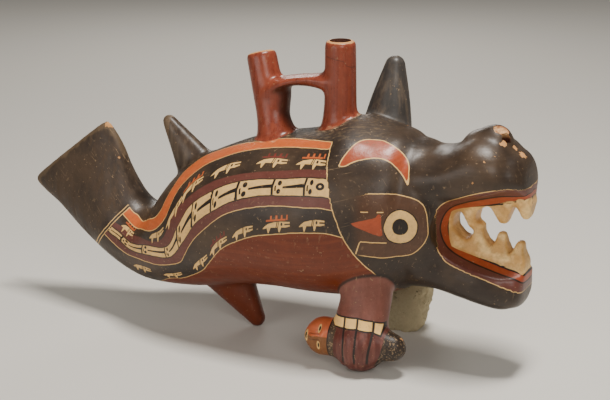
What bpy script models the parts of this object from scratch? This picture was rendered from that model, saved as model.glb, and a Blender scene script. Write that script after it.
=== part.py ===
# Double-spout-and-bridge vessel: a hollow earthenware killer whale that holds a trophy head,
# and the plaster prop that stands under its throat in place of the missing far arm.
# The whale swims towards +X, its photographed flank faces -Y, and the floor is z = 0.

import math

import bmesh
import bpy
from mathutils import Vector

MM = 0.001

# Walls, bores and gaps
WALL = 5.5
SPOUT_RADIUS = 10.8
BORE_RADIUS = 7.3
PIECE_GAP = 0.4

# Body from the fan's edge to the brow: low x, low z, top x, top z, half width
BODY = [
    (-198.3, 88.0, -129.0, 142.5, 5.5),
    (-188.0, 81.0, -123.5, 134.0, 9.0),
    (-177.0, 74.5, -119.0, 125.0, 13.0),
    (-166.0, 66.0, -115.0, 113.0, 17.0),
    (-155.0, 57.5, -110.5, 102.0, 20.5),
    (-142.0, 49.0, -104.5, 91.0, 24.0),
    (-126.0, 39.5, -97.0, 84.5, 27.0),
    (-109.0, 32.0, -89.5, 84.0, 31.0),
    (-93.0, 28.0, -83.0, 92.0, 36.0),
    (-77.5, 27.3, -76.5, 103.0, 41.0),
    (-62.0, 28.0, -67.0, 114.5, 45.0),
    (-46.0, 30.0, -53.5, 125.0, 49.0),
    (-28.0, 34.0, -35.0, 134.5, 53.0),
    (-8.0, 38.0, -12.0, 144.0, 56.0),
    (16.0, 40.0, 14.0, 151.0, 58.0),
    (38.0, 40.0, 37.0, 156.0, 59.0),
    (57.0, 40.5, 58.0, 163.0, 59.0),
    (74.0, 42.0, 72.0, 168.5, 58.0),
    (94.0, 46.0, 92.0, 163.5, 54.0),
    (108.0, 50.0, 106.0, 161.0, 48.0),
    (117.0, 55.0, 115.0, 156.0, 40.0),
]
BODY_RINGS_PER_STATION = 1.5
BODY_SEGMENTS = 26
BODY_FULLNESS = 2.1
FAN_EDGE = 4.5
BROW_DEPTH = 24.0

# Belly hollow: the station that it starts at, and the depth of its rounded front
HOLLOW_FROM = 3.0
HOLLOW_FRONT = 12.0

# Snout and lower jaw, upright sections: x, low z, top z, half width
SNOUT = [
    (100.0, 110.0, 151.0, 32.0),
    (118.0, 112.0, 153.0, 33.0),
    (137.0, 115.0, 153.5, 32.0),
    (148.0, 117.0, 158.5, 32.0),
    (158.0, 118.0, 165.0, 32.0),
    (169.0, 119.0, 165.5, 31.5),
    (180.0, 121.0, 162.0, 29.0),
    (188.0, 123.5, 157.5, 24.5),
]
SNOUT_TIP = 11.5
SNOUT_FULLNESS = 2.2
SNOUT_HOLLOW_TO = 185.0
SNOUT_HOLLOW_TIP = 4.0
JAW = [
    (100.0, 54.0, 94.0, 26.0),
    (118.0, 55.0, 92.0, 28.0),
    (134.0, 55.5, 88.0, 27.0),
    (150.0, 52.0, 85.0, 25.5),
    (166.0, 48.5, 82.0, 25.0),
    (180.0, 46.5, 80.0, 23.0),
    (189.0, 48.5, 78.0, 19.0),
]
JAW_TIP = 8.0
JAW_FULLNESS = 2.3
HEAD_SEGMENTS = 22

# Mouth: the gum edge from the upper lip round the corner to the lower lip, and the flared lips
GUM_EDGE = [
    (225.0, 136.0),
    (186.0, 124.0),
    (169.0, 119.0),
    (154.0, 115.0),
    (145.0, 111.0),
    (141.5, 104.0),
    (141.5, 97.0),
    (145.0, 91.0),
    (156.0, 85.0),
    (171.0, 80.5),
    (186.0, 77.0),
    (225.0, 70.0),
]
LIP_FLARE = 10.0
LIP_FORWARD = 4.0
LIP_RAISE = 2.5
LIP_FROM = 9.0
LIP_TO = 22.5
CHEEKS = [
    (108.0, 72.0, 140.0, 32.0),
    (128.0, 62.0, 142.0, 27.5),
    (146.0, 58.0, 144.0, 24.5),
    (170.0, 56.0, 144.0, 22.5),
    (186.0, 57.0, 142.0, 19.5),
    (194.0, 60.0, 139.0, 14.0),
]
CHEEK_TIP = 3.5
CHEEK_FULLNESS = 4.0

# Gum plate: how far it runs into the lips, its front corners and its edge behind the teeth
GUM_HALF_WIDTH = 7.5
GUM_OVERLAP = 4.0
GUM_FRONT_TOP = (197.0, 129.8)
GUM_FRONT_UPPER = (197.5, 124.0)
GUM_FRONT_LOWER = (197.0, 80.0)
GUM_FRONT_LOW = (196.0, 72.1)
GUM_CORNER = [(144.5, 108.0), (145.0, 100.0), (152.0, 94.5)]

# Teeth: root x, root z, tip x, tip z, half width at the root
UPPER_TEETH = [
    (191.5, 123.0, 193.0, 112.0, 6.0),
    (176.0, 119.0, 177.5, 107.0, 7.0),
    (155.0, 113.5, 155.0, 100.5, 6.5),
]
LOWER_TEETH = [
    (164.5, 93.0, 163.5, 104.5, 5.5),
    (177.5, 89.0, 177.0, 102.5, 5.5),
    (191.0, 84.0, 191.5, 97.0, 5.5),
]
TOOTH_TIP_HALF = 1.8

# Broken bump on the snout
BUMP_CENTRE = (169.0, 0.0, 160.0)
BUMP_RADII = (15.0, 12.0, 13.0)
BREAK_FROM = (181.0, -3.0, 175.0)
BREAK_TO = (172.5, 0.0, 152.0)
BREAK_RADIUS = 4.5
BREAK_SEGMENTS = 9

# Fins, root centre to tip centre: half sizes along the whale and across it, tip radius
REAR_FIN = ((-46.5, 0.0, 102.0), (-79.5, 0.0, 149.0), (22.5, 13.0), 5.2)
FAR_FIN = ((77.0, 26.0, 132.0), (82.5, 36.0, 199.5), (24.0, 15.0), 6.8)
BELLY_FIN = ((-35.0, 0.0, 42.0), (-11.0, 3.0, 5.8), (22.0, 13.0), 6.6)
FIN_RINGS = 5
FIN_SEGMENTS = 16

# Spouts and bridge
NEAR_HEAD_SPOUT = ((56.5, 0.0, 146.0), (56.0, 0.0, 220.0))
NEAR_TAIL_SPOUT = ((11.0, -3.0, 139.0), (-8.5, 8.0, 205.0))
SPOUT_ROOT_RADIUS = 15.5
SPOUT_SEGMENTS = 20
BORE_BELOW_ROOT = 12.0
BORE_PAST_RIM = 8.0

# Share of the way up a spout, and share of its root's extra radius there
SPOUT_FLARE = [(0.0, 1.0), (0.16, 0.72), (0.26, 0.34), (0.38, 0.12), (0.97, 0.0), (1.0, -0.12)]

BRIDGE = [
    (-1.0, 3.5, 181.0),
    (9.0, 3.0, 187.0),
    (21.0, 2.0, 190.3),
    (34.0, 1.0, 191.3),
    (46.0, 0.0, 190.0),
    (56.0, 0.0, 187.5),
]
BRIDGE_RINGS = 9
BRIDGE_HALF_WIDTH = 10.0
BRIDGE_HALF_THICKNESS = 2.4
BRIDGE_END_THICKER = 0.35
STRAP_SEGMENTS = 14
STRAP_FULLNESS = 3.0

# Where the bridge springs from the tail spout: x, y, z, half sizes along and across
BRIDGE_ROOT = [
    (4.0, 1.0, 150.0, 12.0, 10.0),
    (5.0, 2.0, 165.0, 10.5, 10.0),
    (6.5, 2.5, 178.0, 9.5, 10.0),
    (8.0, 3.0, 187.0, 7.5, 9.5),
]

# Arm, fist, trophy head and hair
ARM = [
    (92.0, -25.0, 82.0, 22.0, 17.0),
    (91.5, -29.0, 66.0, 19.5, 15.5),
    (92.5, -33.0, 50.0, 18.5, 14.5),
    (91.0, -37.0, 38.0, 18.7, 15.5),
    (90.0, -39.0, 27.0, 18.5, 16.0),
]
ARM_SEGMENTS = 18
FIST_CENTRE = (90.0, -40.0, 19.6)
FIST_HALF_LENGTH = 19.5
FIST_END = 0.985
FIST_END_ROUNDNESS = 0.02
FIST_RADIUS = 20.0
FINGERS = 4
RINGS_PER_FINGER = 4
FINGER_GROOVE = 1.0
TROPHY_CENTRE = (62.5, -41.0, 18.5)
TROPHY_RADII = (14.5, 13.0, 14.5)
NOSE_OFFSET = (-2.7, -12.1, 0.0)
NOSE_RADII = (4.5, 2.6, 2.2)
HAIR = ((102.5, -41.0, 21.5), (114.5, -41.0, 20.5), (13.5, 13.0), 9.5)
HAIR_SEGMENTS = 14

# Prop: height above the floor, centre x, centre y, half length, half width
PROP = [
    (0.0, 89.0, 47.0, 15.0, 11.5),
    (5.0, 89.5, 47.0, 16.0, 12.3),
    (24.0, 90.0, 46.5, 17.0, 12.6),
    (46.0, 92.0, 45.5, 18.5, 12.8),
    (72.0, 93.0, 43.0, 19.0, 12.0),
]
PROP_SEGMENTS = 14
PROP_FULLNESS = 2.8

FLOOR_CUTTER_SIZE = (600.0, 300.0, 40.0)

# Slip and clay colours, linear, with their roughness
DARK_SLIP = ((0.045, 0.036, 0.028), 0.38)
RED_SLIP = ((0.27, 0.085, 0.048), 0.36)
MAROON_SLIP = ((0.115, 0.043, 0.036), 0.42)
CREAM_SLIP = ((0.62, 0.42, 0.19), 0.5)
PLASTER = ((0.40, 0.35, 0.25), 0.9)


def at(point):
    return Vector(point) * MM


def clear_scene():
    for old in list(bpy.data.objects):
        bpy.data.objects.remove(old, do_unlink=True)


def material(name, slip):
    made = bpy.data.materials.get(name) or bpy.data.materials.new(name)
    made.use_nodes = True
    shader = made.node_tree.nodes["Principled BSDF"]
    shader.inputs["Base Color"].default_value = (*slip[0], 1.0)
    shader.inputs["Roughness"].default_value = slip[1]
    shader.inputs["Metallic"].default_value = 0.0
    return made


def as_object(name, mesh_builder, finish):
    bmesh.ops.recalc_face_normals(mesh_builder, faces=mesh_builder.faces)
    mesh = bpy.data.meshes.new(name)
    mesh_builder.to_mesh(mesh)
    mesh_builder.free()
    mesh.materials.append(finish)
    made = bpy.data.objects.new(name, mesh)
    bpy.context.scene.collection.objects.link(made)
    return made


def as_helper(obj, parent):
    obj.parent = parent
    obj.hide_render = True
    obj.display_type = "WIRE"
    return obj


def curved(a, b, c, d, t):
    """The Catmull-Rom value at t between b and c."""
    slope = c - a
    bend = 2 * a - 5 * b + 4 * c - d
    twist = 3 * b - a - 3 * c + d
    return b + 0.5 * (slope * t + bend * t**2 + twist * t**3)


def resampled(rows, count):
    """Rows at even steps along a smooth curve through all of them."""
    last = len(rows) - 1
    found = []
    for step in range(count + 1):
        place = step * last / count
        row = min(int(place), last - 1)
        nearest = (rows[max(row - 1, 0)], rows[row], rows[row + 1], rows[min(row + 2, last)])
        found.append(tuple(curved(*values, place - row) for values in zip(*nearest)))
    return found


# Sections: (centre, half axis up, half axis across), with the outline a superellipse

def rail_section(row, inset=0.0):
    low = Vector((row[0], 0.0, row[1]))
    top = Vector((row[2], 0.0, row[3]))
    half = (top - low) / 2
    up = half.normalized() * (half.length - inset)
    return (low + top) / 2, up, Vector((0.0, row[4] - inset, 0.0))


def upright_section(row, inset=0.0):
    x, low, top, half_width = row
    centre = Vector((x, 0.0, (low + top) / 2))
    return centre, Vector((0.0, 0.0, (top - low) / 2 - inset)), Vector((0.0, half_width - inset, 0.0))


def level_section(x, y, z, half_x, half_y):
    return Vector((x, y, z)), Vector((half_x, 0.0, 0.0)), Vector((0.0, half_y, 0.0))


def rounded_end(section, before, depth, rings=3):
    """Sections that close an end as a quarter round of this depth."""
    centre, up, across = section
    outward = up.cross(across).normalized()
    if outward.dot(centre - before[0]) < 0:
        outward.negate()
    found = []
    for ring in range(1, rings + 1):
        angle = ring / (rings + 0.35) * math.pi / 2
        shrink = depth * (1 - math.cos(angle))
        found.append(
            (
                centre + outward * depth * math.sin(angle),
                up.normalized() * max(up.length - shrink, up.length * 0.12),
                across.normalized() * max(across.length - shrink, across.length * 0.12),
            )
        )
    return found


def outline(section, segments, fullness):
    centre, up, across = section
    points = []
    for step in range(segments):
        angle = 2 * math.pi * step / segments
        c = math.cos(angle)
        s = math.sin(angle)
        rise = math.copysign(abs(c) ** (2 / fullness), c)
        side = math.copysign(abs(s) ** (2 / fullness), s)
        points.append((centre + up * rise + across * side) * MM)
    return points


def loft(name, sections, finish, segments, fullness=2.0):
    """A closed skin over a row of sections, its two ends capped."""
    shape = bmesh.new()
    rings = [[shape.verts.new(p) for p in outline(s, segments, fullness)] for s in sections]
    for ring, following in zip(rings, rings[1:]):
        for i in range(segments):
            j = (i + 1) % segments
            shape.faces.new((ring[i], ring[j], following[j], following[i]))
    shape.faces.new(rings[0])
    shape.faces.new(rings[-1])
    return as_object(name, shape, finish)


def body_sections(inset=0.0, first=0.0, front=BROW_DEPTH):
    count = int((len(BODY) - 1) * BODY_RINGS_PER_STATION)
    rows = resampled(BODY, count)
    kept = [row for i, row in enumerate(rows) if i / BODY_RINGS_PER_STATION >= first]
    sections = [rail_section(row, inset) for row in kept]
    tail_end = rounded_end(sections[0], sections[1], FAN_EDGE, 2)
    head_end = rounded_end(sections[-1], sections[-2], front)
    return tail_end[::-1] + sections + head_end


def upright_sections(rows, tip, inset=0.0):
    sections = [upright_section(row, inset) for row in rows]
    return sections + rounded_end(sections[-1], sections[-2], tip)


def horn(name, fin, finish, segments=FIN_SEGMENTS):
    """A cone from its root to a round tip, its sections square to its axis."""
    root = Vector(fin[0])
    tip = Vector(fin[1])
    half_along, half_across = fin[2]
    axis = (tip - root).normalized()
    across = Vector((0.0, 1.0, 0.0))
    across = (across - axis * across.dot(axis)).normalized()
    along = axis.cross(across)
    sections = []
    for ring in range(FIN_RINGS + 1):
        t = ring / FIN_RINGS
        wide = half_along + (fin[3] - half_along) * t
        deep = half_across + (fin[3] - half_across) * t
        sections.append((root + (tip - root) * t, along * wide, across * deep))
    sections += rounded_end(sections[-1], sections[-2], fin[3])
    return loft(name, sections, finish, segments)


def ellipsoid(name, centre, radii, finish, segments=16, rings=10):
    shape = bmesh.new()
    bmesh.ops.create_uvsphere(shape, u_segments=segments, v_segments=rings, radius=1.0)
    for vert in shape.verts:
        vert.co = at([c + v * r for c, v, r in zip(centre, vert.co, radii)])
    return as_object(name, shape, finish)


def slab(name, layers, finish):
    """A skin over outlines of equal count, each a list of (x, z) at its own y."""
    shape = bmesh.new()
    rings = [[shape.verts.new(at((x, y, z))) for x, z in points] for y, points in layers]
    count = len(rings[0])
    for ring, following in zip(rings, rings[1:]):
        for i in range(count):
            j = (i + 1) % count
            shape.faces.new((ring[i], ring[j], following[j], following[i]))
    shape.faces.new(rings[0])
    shape.faces.new(rings[-1])
    shape.normal_update()
    bmesh.ops.triangulate(shape, faces=[f for f in shape.faces if len(f.verts) > 4])
    return as_object(name, shape, finish)


def moved_out(points, distance):
    """An open outline moved square to itself, to the right of its own direction."""
    found = []
    for i, (x, z) in enumerate(points):
        before = points[max(i - 1, 0)]
        after = points[min(i + 1, len(points) - 1)]
        run = Vector((after[0] - before[0], after[1] - before[1])).normalized()
        found.append((x + run.y * distance, z - run.x * distance))
    return found


# The whale's parts

def mouth_opening(finish):
    """Narrow at the gum plate, and flaring out through both lips."""
    wide = [(x + LIP_FORWARD, z + LIP_RAISE) for x, z in moved_out(GUM_EDGE, LIP_FLARE)]
    far = [(LIP_FROM, GUM_EDGE), (LIP_TO, wide), (LIP_TO * 3, wide)]
    near = [(-y, points) for y, points in reversed(far)]
    return slab("mouth_opening", near + far, finish)


def tooth_outline(tooth, direction):
    x, z, tip_x, tip_z, half = tooth
    return [
        (x - half * direction, z),
        (tip_x - TOOTH_TIP_HALF * direction, tip_z),
        (tip_x + TOOTH_TIP_HALF * direction, tip_z),
        (x + half * direction, z),
    ]


def gums(finish):
    """The gum plate: its outer edge lies inside the lips, its inner edge carries the teeth."""
    inner = [GUM_FRONT_UPPER]
    for tooth in UPPER_TEETH:
        inner += tooth_outline(tooth, -1)
    inner += GUM_CORNER
    for tooth in LOWER_TEETH:
        inner += tooth_outline(tooth, 1)
    inner.append(GUM_FRONT_LOWER)
    outer = moved_out(GUM_EDGE[1:-1], GUM_OVERLAP)
    points = [GUM_FRONT_TOP] + outer + [GUM_FRONT_LOW] + inner[::-1]
    return slab("gums_and_teeth", [(-GUM_HALF_WIDTH, points), (GUM_HALF_WIDTH, points)], finish)


def spout_frame(spout):
    """A spout's root, its rim, and two directions square to its axis."""
    root = Vector(spout[0])
    rim = Vector(spout[1])
    axis = (rim - root).normalized()
    along = Vector((1.0, 0.0, 0.0))
    along = (along - axis * along.dot(axis)).normalized()
    return root, rim, along, axis.cross(along)


def spout(name, run, finish):
    root, rim, along, across = spout_frame(run)
    sections = []
    for t, flare in SPOUT_FLARE:
        radius = SPOUT_RADIUS + (SPOUT_ROOT_RADIUS - SPOUT_RADIUS) * flare
        sections.append((root.lerp(rim, t), along * radius, across * radius))
    return loft(name, sections, finish, SPOUT_SEGMENTS)


def bore(name, run, finish):
    root, rim, along, across = spout_frame(run)
    axis = (rim - root).normalized()
    half_axes = (along * BORE_RADIUS, across * BORE_RADIUS)
    sections = [(root - axis * BORE_BELOW_ROOT, *half_axes), (rim + axis * BORE_PAST_RIM, *half_axes)]
    return loft(name, sections, finish, SPOUT_SEGMENTS)


def bridge(finish):
    """A strap that follows the arch and thickens towards both spouts."""
    points = [Vector(point) for point in resampled(BRIDGE, BRIDGE_RINGS)]
    sections = []
    for i, point in enumerate(points):
        run = points[min(i + 1, BRIDGE_RINGS)] - points[max(i - 1, 0)]
        up = run.cross(Vector((0.0, -1.0, 0.0))).normalized()
        from_middle = abs(2 * i / BRIDGE_RINGS - 1)
        thick = BRIDGE_HALF_THICKNESS * (1.0 + BRIDGE_END_THICKER * from_middle**3)
        sections.append((point, up * thick, Vector((0.0, BRIDGE_HALF_WIDTH, 0.0))))
    return loft("bridge", sections, finish, STRAP_SEGMENTS, STRAP_FULLNESS)


def fist(finish):
    """Four fingers side by side: a ball whose sections along X dip between them."""
    sections = []
    rings = FINGERS * RINGS_PER_FINGER
    for ring in range(rings + 1):
        t = -1 + 2 * ring / rings
        reach = FIST_END * math.sin(t * math.pi / 2)
        radius = FIST_RADIUS * math.sqrt(max(1 - reach**2, FIST_END_ROUNDNESS))
        if 0 < ring < rings:
            radius -= FINGER_GROOVE * (0.5 + 0.5 * math.cos(math.pi * FINGERS * (t + 1)))
        centre = Vector(FIST_CENTRE) + Vector((FIST_HALF_LENGTH * reach, 0.0, 0.0))
        sections.append((centre, Vector((0.0, 0.0, radius)), Vector((0.0, radius, 0.0))))
    return loft("fist", sections, finish, ARM_SEGMENTS)


def joined_forms(red, dark, maroon):
    """Every solid form that was joined to the body in the clay."""
    snout = upright_sections(SNOUT, SNOUT_TIP)
    jaw = upright_sections(JAW, JAW_TIP)
    cheeks = upright_sections(CHEEKS, CHEEK_TIP)
    bridge_root = [level_section(*row) for row in BRIDGE_ROOT]
    arm = [level_section(*row) for row in ARM]
    nose_centre = Vector(TROPHY_CENTRE) + Vector(NOSE_OFFSET)
    return [
        loft("snout", snout, dark, HEAD_SEGMENTS, SNOUT_FULLNESS),
        loft("lower_jaw", jaw, dark, HEAD_SEGMENTS, JAW_FULLNESS),
        loft("cheeks", cheeks, dark, HEAD_SEGMENTS, CHEEK_FULLNESS),
        ellipsoid("snout_bump", BUMP_CENTRE, BUMP_RADII, dark),
        horn("rear_fin", REAR_FIN, dark),
        horn("far_fin", FAR_FIN, dark),
        horn("belly_fin", BELLY_FIN, red),
        spout("head_spout", NEAR_HEAD_SPOUT, red),
        spout("tail_spout", NEAR_TAIL_SPOUT, red),
        bridge(red),
        loft("bridge_root", bridge_root, red, STRAP_SEGMENTS, STRAP_FULLNESS),
        loft("arm", arm, maroon, ARM_SEGMENTS),
        fist(maroon),
        ellipsoid("trophy_head", TROPHY_CENTRE, TROPHY_RADII, red),
        ellipsoid("trophy_nose", nose_centre, NOSE_RADII, red, 10, 6),
        horn("trophy_hair", HAIR, dark, HAIR_SEGMENTS),
    ]


def hollows(finish):
    """What is empty: the belly, the snout, both spouts and the break in the snout."""
    belly = body_sections(WALL, HOLLOW_FROM, HOLLOW_FRONT)
    snout_rows = [row for row in SNOUT if row[0] < SNOUT_HOLLOW_TO]
    snout = upright_sections(snout_rows, SNOUT_HOLLOW_TIP, WALL)
    break_run = (BREAK_FROM, BREAK_TO, (BREAK_RADIUS * 1.5, BREAK_RADIUS), BREAK_RADIUS * 0.6)
    return [
        loft("belly_hollow", belly, finish, BODY_SEGMENTS, BODY_FULLNESS),
        loft("snout_hollow", snout, finish, HEAD_SEGMENTS, SNOUT_FULLNESS),
        bore("head_spout_bore", NEAR_HEAD_SPOUT, finish),
        bore("tail_spout_bore", NEAR_TAIL_SPOUT, finish),
        horn("snout_break", break_run, finish, BREAK_SEGMENTS),
    ]


def floor_cutter(finish):
    """A block whose top face is the floor."""
    shape = bmesh.new()
    bmesh.ops.create_cube(shape, size=1.0)
    for vert in shape.verts:
        vert.co = at([(v - shift) * size for v, shift, size in zip(vert.co, (0, 0, 0.5), FLOOR_CUTTER_SIZE)])
    return as_object("floor_cutter", shape, finish)


def add_boolean(obj, other, operation):
    modifier = obj.modifiers.new(f"{operation.lower()} {other.name}", "BOOLEAN")
    modifier.operation = operation
    modifier.solver = "EXACT"
    modifier.object = other
    modifier.material_mode = "TRANSFER"


def build_vessel():
    dark = material("burnished dark slip", DARK_SLIP)
    red = material("red slip", RED_SLIP)
    maroon = material("maroon slip", MAROON_SLIP)
    cream = material("cream slip", CREAM_SLIP)
    vessel = loft("vessel", body_sections(), dark, BODY_SEGMENTS, BODY_FULLNESS)
    for form in joined_forms(red, dark, maroon):
        add_boolean(vessel, as_helper(form, vessel), "UNION")
    add_boolean(vessel, as_helper(mouth_opening(dark), vessel), "DIFFERENCE")
    add_boolean(vessel, as_helper(gums(cream), vessel), "UNION")
    for hollow in hollows(dark):
        add_boolean(vessel, as_helper(hollow, vessel), "DIFFERENCE")
    add_boolean(vessel, as_helper(floor_cutter(dark), vessel), "DIFFERENCE")
    return vessel


def build_prop():
    plaster = material("rough plaster", PLASTER)
    sections = [level_section(x, y, z, half_x, half_y) for z, x, y, half_x, half_y in PROP]
    prop = loft("plaster_prop", sections, plaster, PROP_SEGMENTS, PROP_FULLNESS)
    throat = body_sections(-PIECE_GAP)
    jaw = upright_sections(JAW, JAW_TIP, -PIECE_GAP)
    for clearance in (
        loft("throat_clearance", throat, plaster, BODY_SEGMENTS, BODY_FULLNESS),
        loft("jaw_clearance", jaw, plaster, HEAD_SEGMENTS, JAW_FULLNESS),
    ):
        add_boolean(prop, as_helper(clearance, prop), "DIFFERENCE")
    return prop


clear_scene()
build_vessel()
build_prop()
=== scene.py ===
# Killer whale bottle with two bridged spouts, and the plaster prop it leans on. Lengths are in mm.
# The whale swims towards +X, its painted flank faces -Y and the floor is z = 0.
import math

import bmesh
import bpy
import numpy as np
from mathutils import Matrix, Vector, noise
from mathutils.bvhtree import BVHTree


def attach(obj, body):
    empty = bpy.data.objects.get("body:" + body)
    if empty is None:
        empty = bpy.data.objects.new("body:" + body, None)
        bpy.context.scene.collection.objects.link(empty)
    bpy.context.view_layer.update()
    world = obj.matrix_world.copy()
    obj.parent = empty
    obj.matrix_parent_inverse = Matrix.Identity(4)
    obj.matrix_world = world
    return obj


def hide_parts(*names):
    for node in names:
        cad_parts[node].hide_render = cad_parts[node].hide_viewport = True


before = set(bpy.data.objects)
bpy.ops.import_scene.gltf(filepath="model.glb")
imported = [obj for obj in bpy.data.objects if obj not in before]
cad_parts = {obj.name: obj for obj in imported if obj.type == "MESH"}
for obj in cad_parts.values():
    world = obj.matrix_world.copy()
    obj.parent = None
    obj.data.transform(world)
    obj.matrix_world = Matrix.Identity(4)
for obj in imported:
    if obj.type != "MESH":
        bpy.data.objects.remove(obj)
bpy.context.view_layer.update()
mm = 0.001


# working helpers

def deselectAll():
    for each in list(bpy.context.selected_objects):
        each.select_set(False)


def pick(obj):
    deselectAll()
    obj.select_set(True)
    bpy.context.view_layer.objects.active = obj


def applyModifier(obj, kind, **settings):
    pick(obj)
    bpy.ops.object.modifier_add(type=kind)
    modifier = obj.modifiers[-1]
    for key, value in settings.items():
        setattr(modifier, key, value)
    bpy.ops.object.modifier_apply(modifier=modifier.name)


def smooth(obj, iterations, **more):
    applyModifier(obj, "SMOOTH", factor=0.5, iterations=iterations, **more)


def cut(obj, other, operation="DIFFERENCE"):
    applyModifier(obj, "BOOLEAN", operation=operation, solver="EXACT", object=other,
                  material_mode="TRANSFER")
    bpy.data.objects.remove(other, do_unlink=True)


def joinAll(name, objects):
    pick(objects[0])
    for each in objects[1:]:
        each.select_set(True)
    bpy.ops.object.join()
    objects[0].name = name
    return objects[0]


def remesh(obj, voxel):
    pick(obj)
    obj.data.remesh_voxel_size = voxel * mm
    obj.data.remesh_voxel_adaptivity = 0
    obj.data.use_remesh_fix_poles = False
    obj.data.use_remesh_preserve_volume = False
    bpy.ops.object.voxel_remesh()


def readVectors(source, name):
    found = np.empty(len(source) * 3, dtype=np.float32)
    source.foreach_get(name, found)
    return found.reshape(-1, 3).astype(np.float64)


def pointsOf(obj):
    return readVectors(obj.data.vertices, "co") / mm


def normalsOf(obj):
    return readVectors(obj.data.vertex_normals, "vector")


def movePoints(obj, places):
    obj.data.vertices.foreach_set("co", (places * mm).astype(np.float32).ravel())
    obj.data.update()


def onFloor(places):
    places[:, 2] = np.maximum(places[:, 2], 0)
    return places


def mirrored(points):
    # every point brought to the near side
    return np.column_stack((points[:, 0], -np.abs(points[:, 1]), points[:, 2]))


def added(name, data):
    obj = bpy.data.objects.new(name, data)
    bpy.context.scene.collection.objects.link(obj)
    return obj


def newMaterial(name):
    # node() adds to the tree of the material made last
    global tree
    made = bpy.data.materials.new(name)
    made.use_nodes = True
    tree = made.node_tree
    return made, tree.nodes["Principled BSDF"]


def coverWith(obj, material):
    obj.data.materials.clear()
    obj.data.materials.append(material)


def loft(name, points, count):
    # a closed skin over rings of points, count of them to a ring
    faces = []
    for a in range(0, len(points) - count, count):
        for i in range(count):
            j = (i + 1) % count
            faces.append((a + i, a + j, a + count + j, a + count + i))
    faces += [tuple(range(count)), tuple(range(len(points) - count, len(points)))]
    mesh = bpy.data.meshes.new(name)
    mesh.from_pydata([tuple(p) for p in np.asarray(points) * mm], [], faces)
    shape = bmesh.new()
    shape.from_mesh(mesh)
    shape.normal_update()
    bmesh.ops.triangulate(shape, faces=[f for f in shape.faces if len(f.verts) > 4])
    bmesh.ops.recalc_face_normals(shape, faces=shape.faces)
    shape.to_mesh(mesh)
    shape.free()
    return added(name, mesh)


def curved(rows, count):
    # rows at even steps along a smooth curve through all of them
    rows = np.asarray(rows, float)
    last = len(rows) - 1
    place = np.linspace(0, last, count + 1)
    row = np.minimum(place.astype(int), last - 1)
    t = (place - row)[:, None]
    a, b = rows[np.maximum(row - 1, 0)], rows[row]
    c, d = rows[row + 1], rows[np.minimum(row + 2, last)]
    return b + 0.5 * ((c - a) * t + (2 * a - 5 * b + 4 * c - d) * t**2
                      + (3 * b - a - 3 * c + d) * t**3)


def unit(vector):
    return vector / np.linalg.norm(vector)


# A section is its centre, its half axis up and its half axis across, as numpy vectors

def section(centre, up, across):
    return np.array(centre, float), np.array(up, float), np.array(across, float)


def railSection(row, inset=0.0):
    low, top = np.array((row[0], 0, row[1])), np.array((row[2], 0, row[3]))
    half = (top - low) / 2
    size = np.linalg.norm(half)
    return section((low + top) / 2, half / size * (size - inset), (0, row[4] - inset, 0))


def roundedEnd(last, before, depth, rings=9):
    # further sections that round a skin off, depth in mm beyond its last one
    centre, up, across = last
    outward = unit(np.cross(up, across))
    if outward @ (centre - before[0]) < 0:
        outward = -outward
    high, wide = np.linalg.norm(up), np.linalg.norm(across)
    least = 0.12  # share of its size that the very end keeps
    found = []
    for ring in range(1, rings + 1):
        angle = ring / (rings + 0.35) * math.pi / 2
        shrink = depth * (1 - math.cos(angle))
        found.append(section(centre + outward * depth * math.sin(angle),
                             up / high * max(high - shrink, high * least),
                             across / wide * max(wide - shrink, wide * least)))
    return found


def skin(name, sections, segments=72, fullness=2.0):
    # a closed skin over a row of sections; a fuller outline is squarer
    angle = np.arange(segments) * 2 * math.pi / segments
    rise, side = (np.sign(wave) * np.abs(wave) ** (2 / fullness) for wave in (np.cos(angle), np.sin(angle)))
    points = [c + np.outer(rise, up) + np.outer(side, across) for c, up, across in sections]
    return loft(name, np.vstack(points), segments)


def slab(name, layers):
    # a skin over outlines of (x, z), each at its own y
    return loft(name, [(x, y, z) for y, outline in layers for x, z in outline], len(layers[0][1]))


def cone(name, root, tip, halfAlong, halfAcross, tipRadius, bulge=0.0, rings=10, segments=48):
    root, tip = np.array(root, float), np.array(tip, float)
    axis = unit(tip - root)
    across = np.array((0.0, 1.0, 0.0))
    across = unit(across - axis * (across @ axis))
    along = np.cross(axis, across)
    sections = []
    for t in np.linspace(0, 1, rings + 1):
        more = bulge * math.sin(t * math.pi)
        wide = halfAlong + (tipRadius - halfAlong) * t + more
        deep = halfAcross + (tipRadius - halfAcross) * t + more
        sections.append(section(root + (tip - root) * t, along * wide, across * deep))
    return skin(name, sections + roundedEnd(sections[-1], sections[-2], tipRadius), segments)


def ball(name, centre, radii, segments=48, rings=32):
    deselectAll()
    bpy.ops.mesh.primitive_uv_sphere_add(segments=segments, ring_count=rings, radius=mm,
                                         location=Vector(centre) * mm)
    obj = bpy.context.object
    obj.name = name
    obj.scale = radii
    bpy.ops.object.transform_apply(location=True, rotation=True, scale=True)
    return obj


def smoothStep(values, low, high):
    t = np.clip((values - low) / (high - low), 0, 1)
    return t * t * (3 - 2 * t)


def distanceToLine(points, line):
    # the shortest distance from each point to a run of straight pieces
    best = np.full(len(points), 1e9)
    for a, b in zip(line[:-1], line[1:]):
        run = b - a
        t = np.clip((points - a) @ run / max(run @ run, 1e-9), 0, 1)
        best = np.minimum(best, np.linalg.norm(points - a - t[:, None] * run, axis=1))
    return best


def movedOut(points, distance):
    # an open outline moved square to itself, to the right of its own direction
    run = np.gradient(points, axis=0)
    run /= np.linalg.norm(run, axis=1)[:, None]
    return points + np.column_stack((run[:, 1], -run[:, 0])) * distance


def treeOf(obj):
    return BVHTree.FromPolygons([v.co / mm for v in obj.data.vertices],
                                [tuple(p.vertices) for p in obj.data.polygons])


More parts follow.
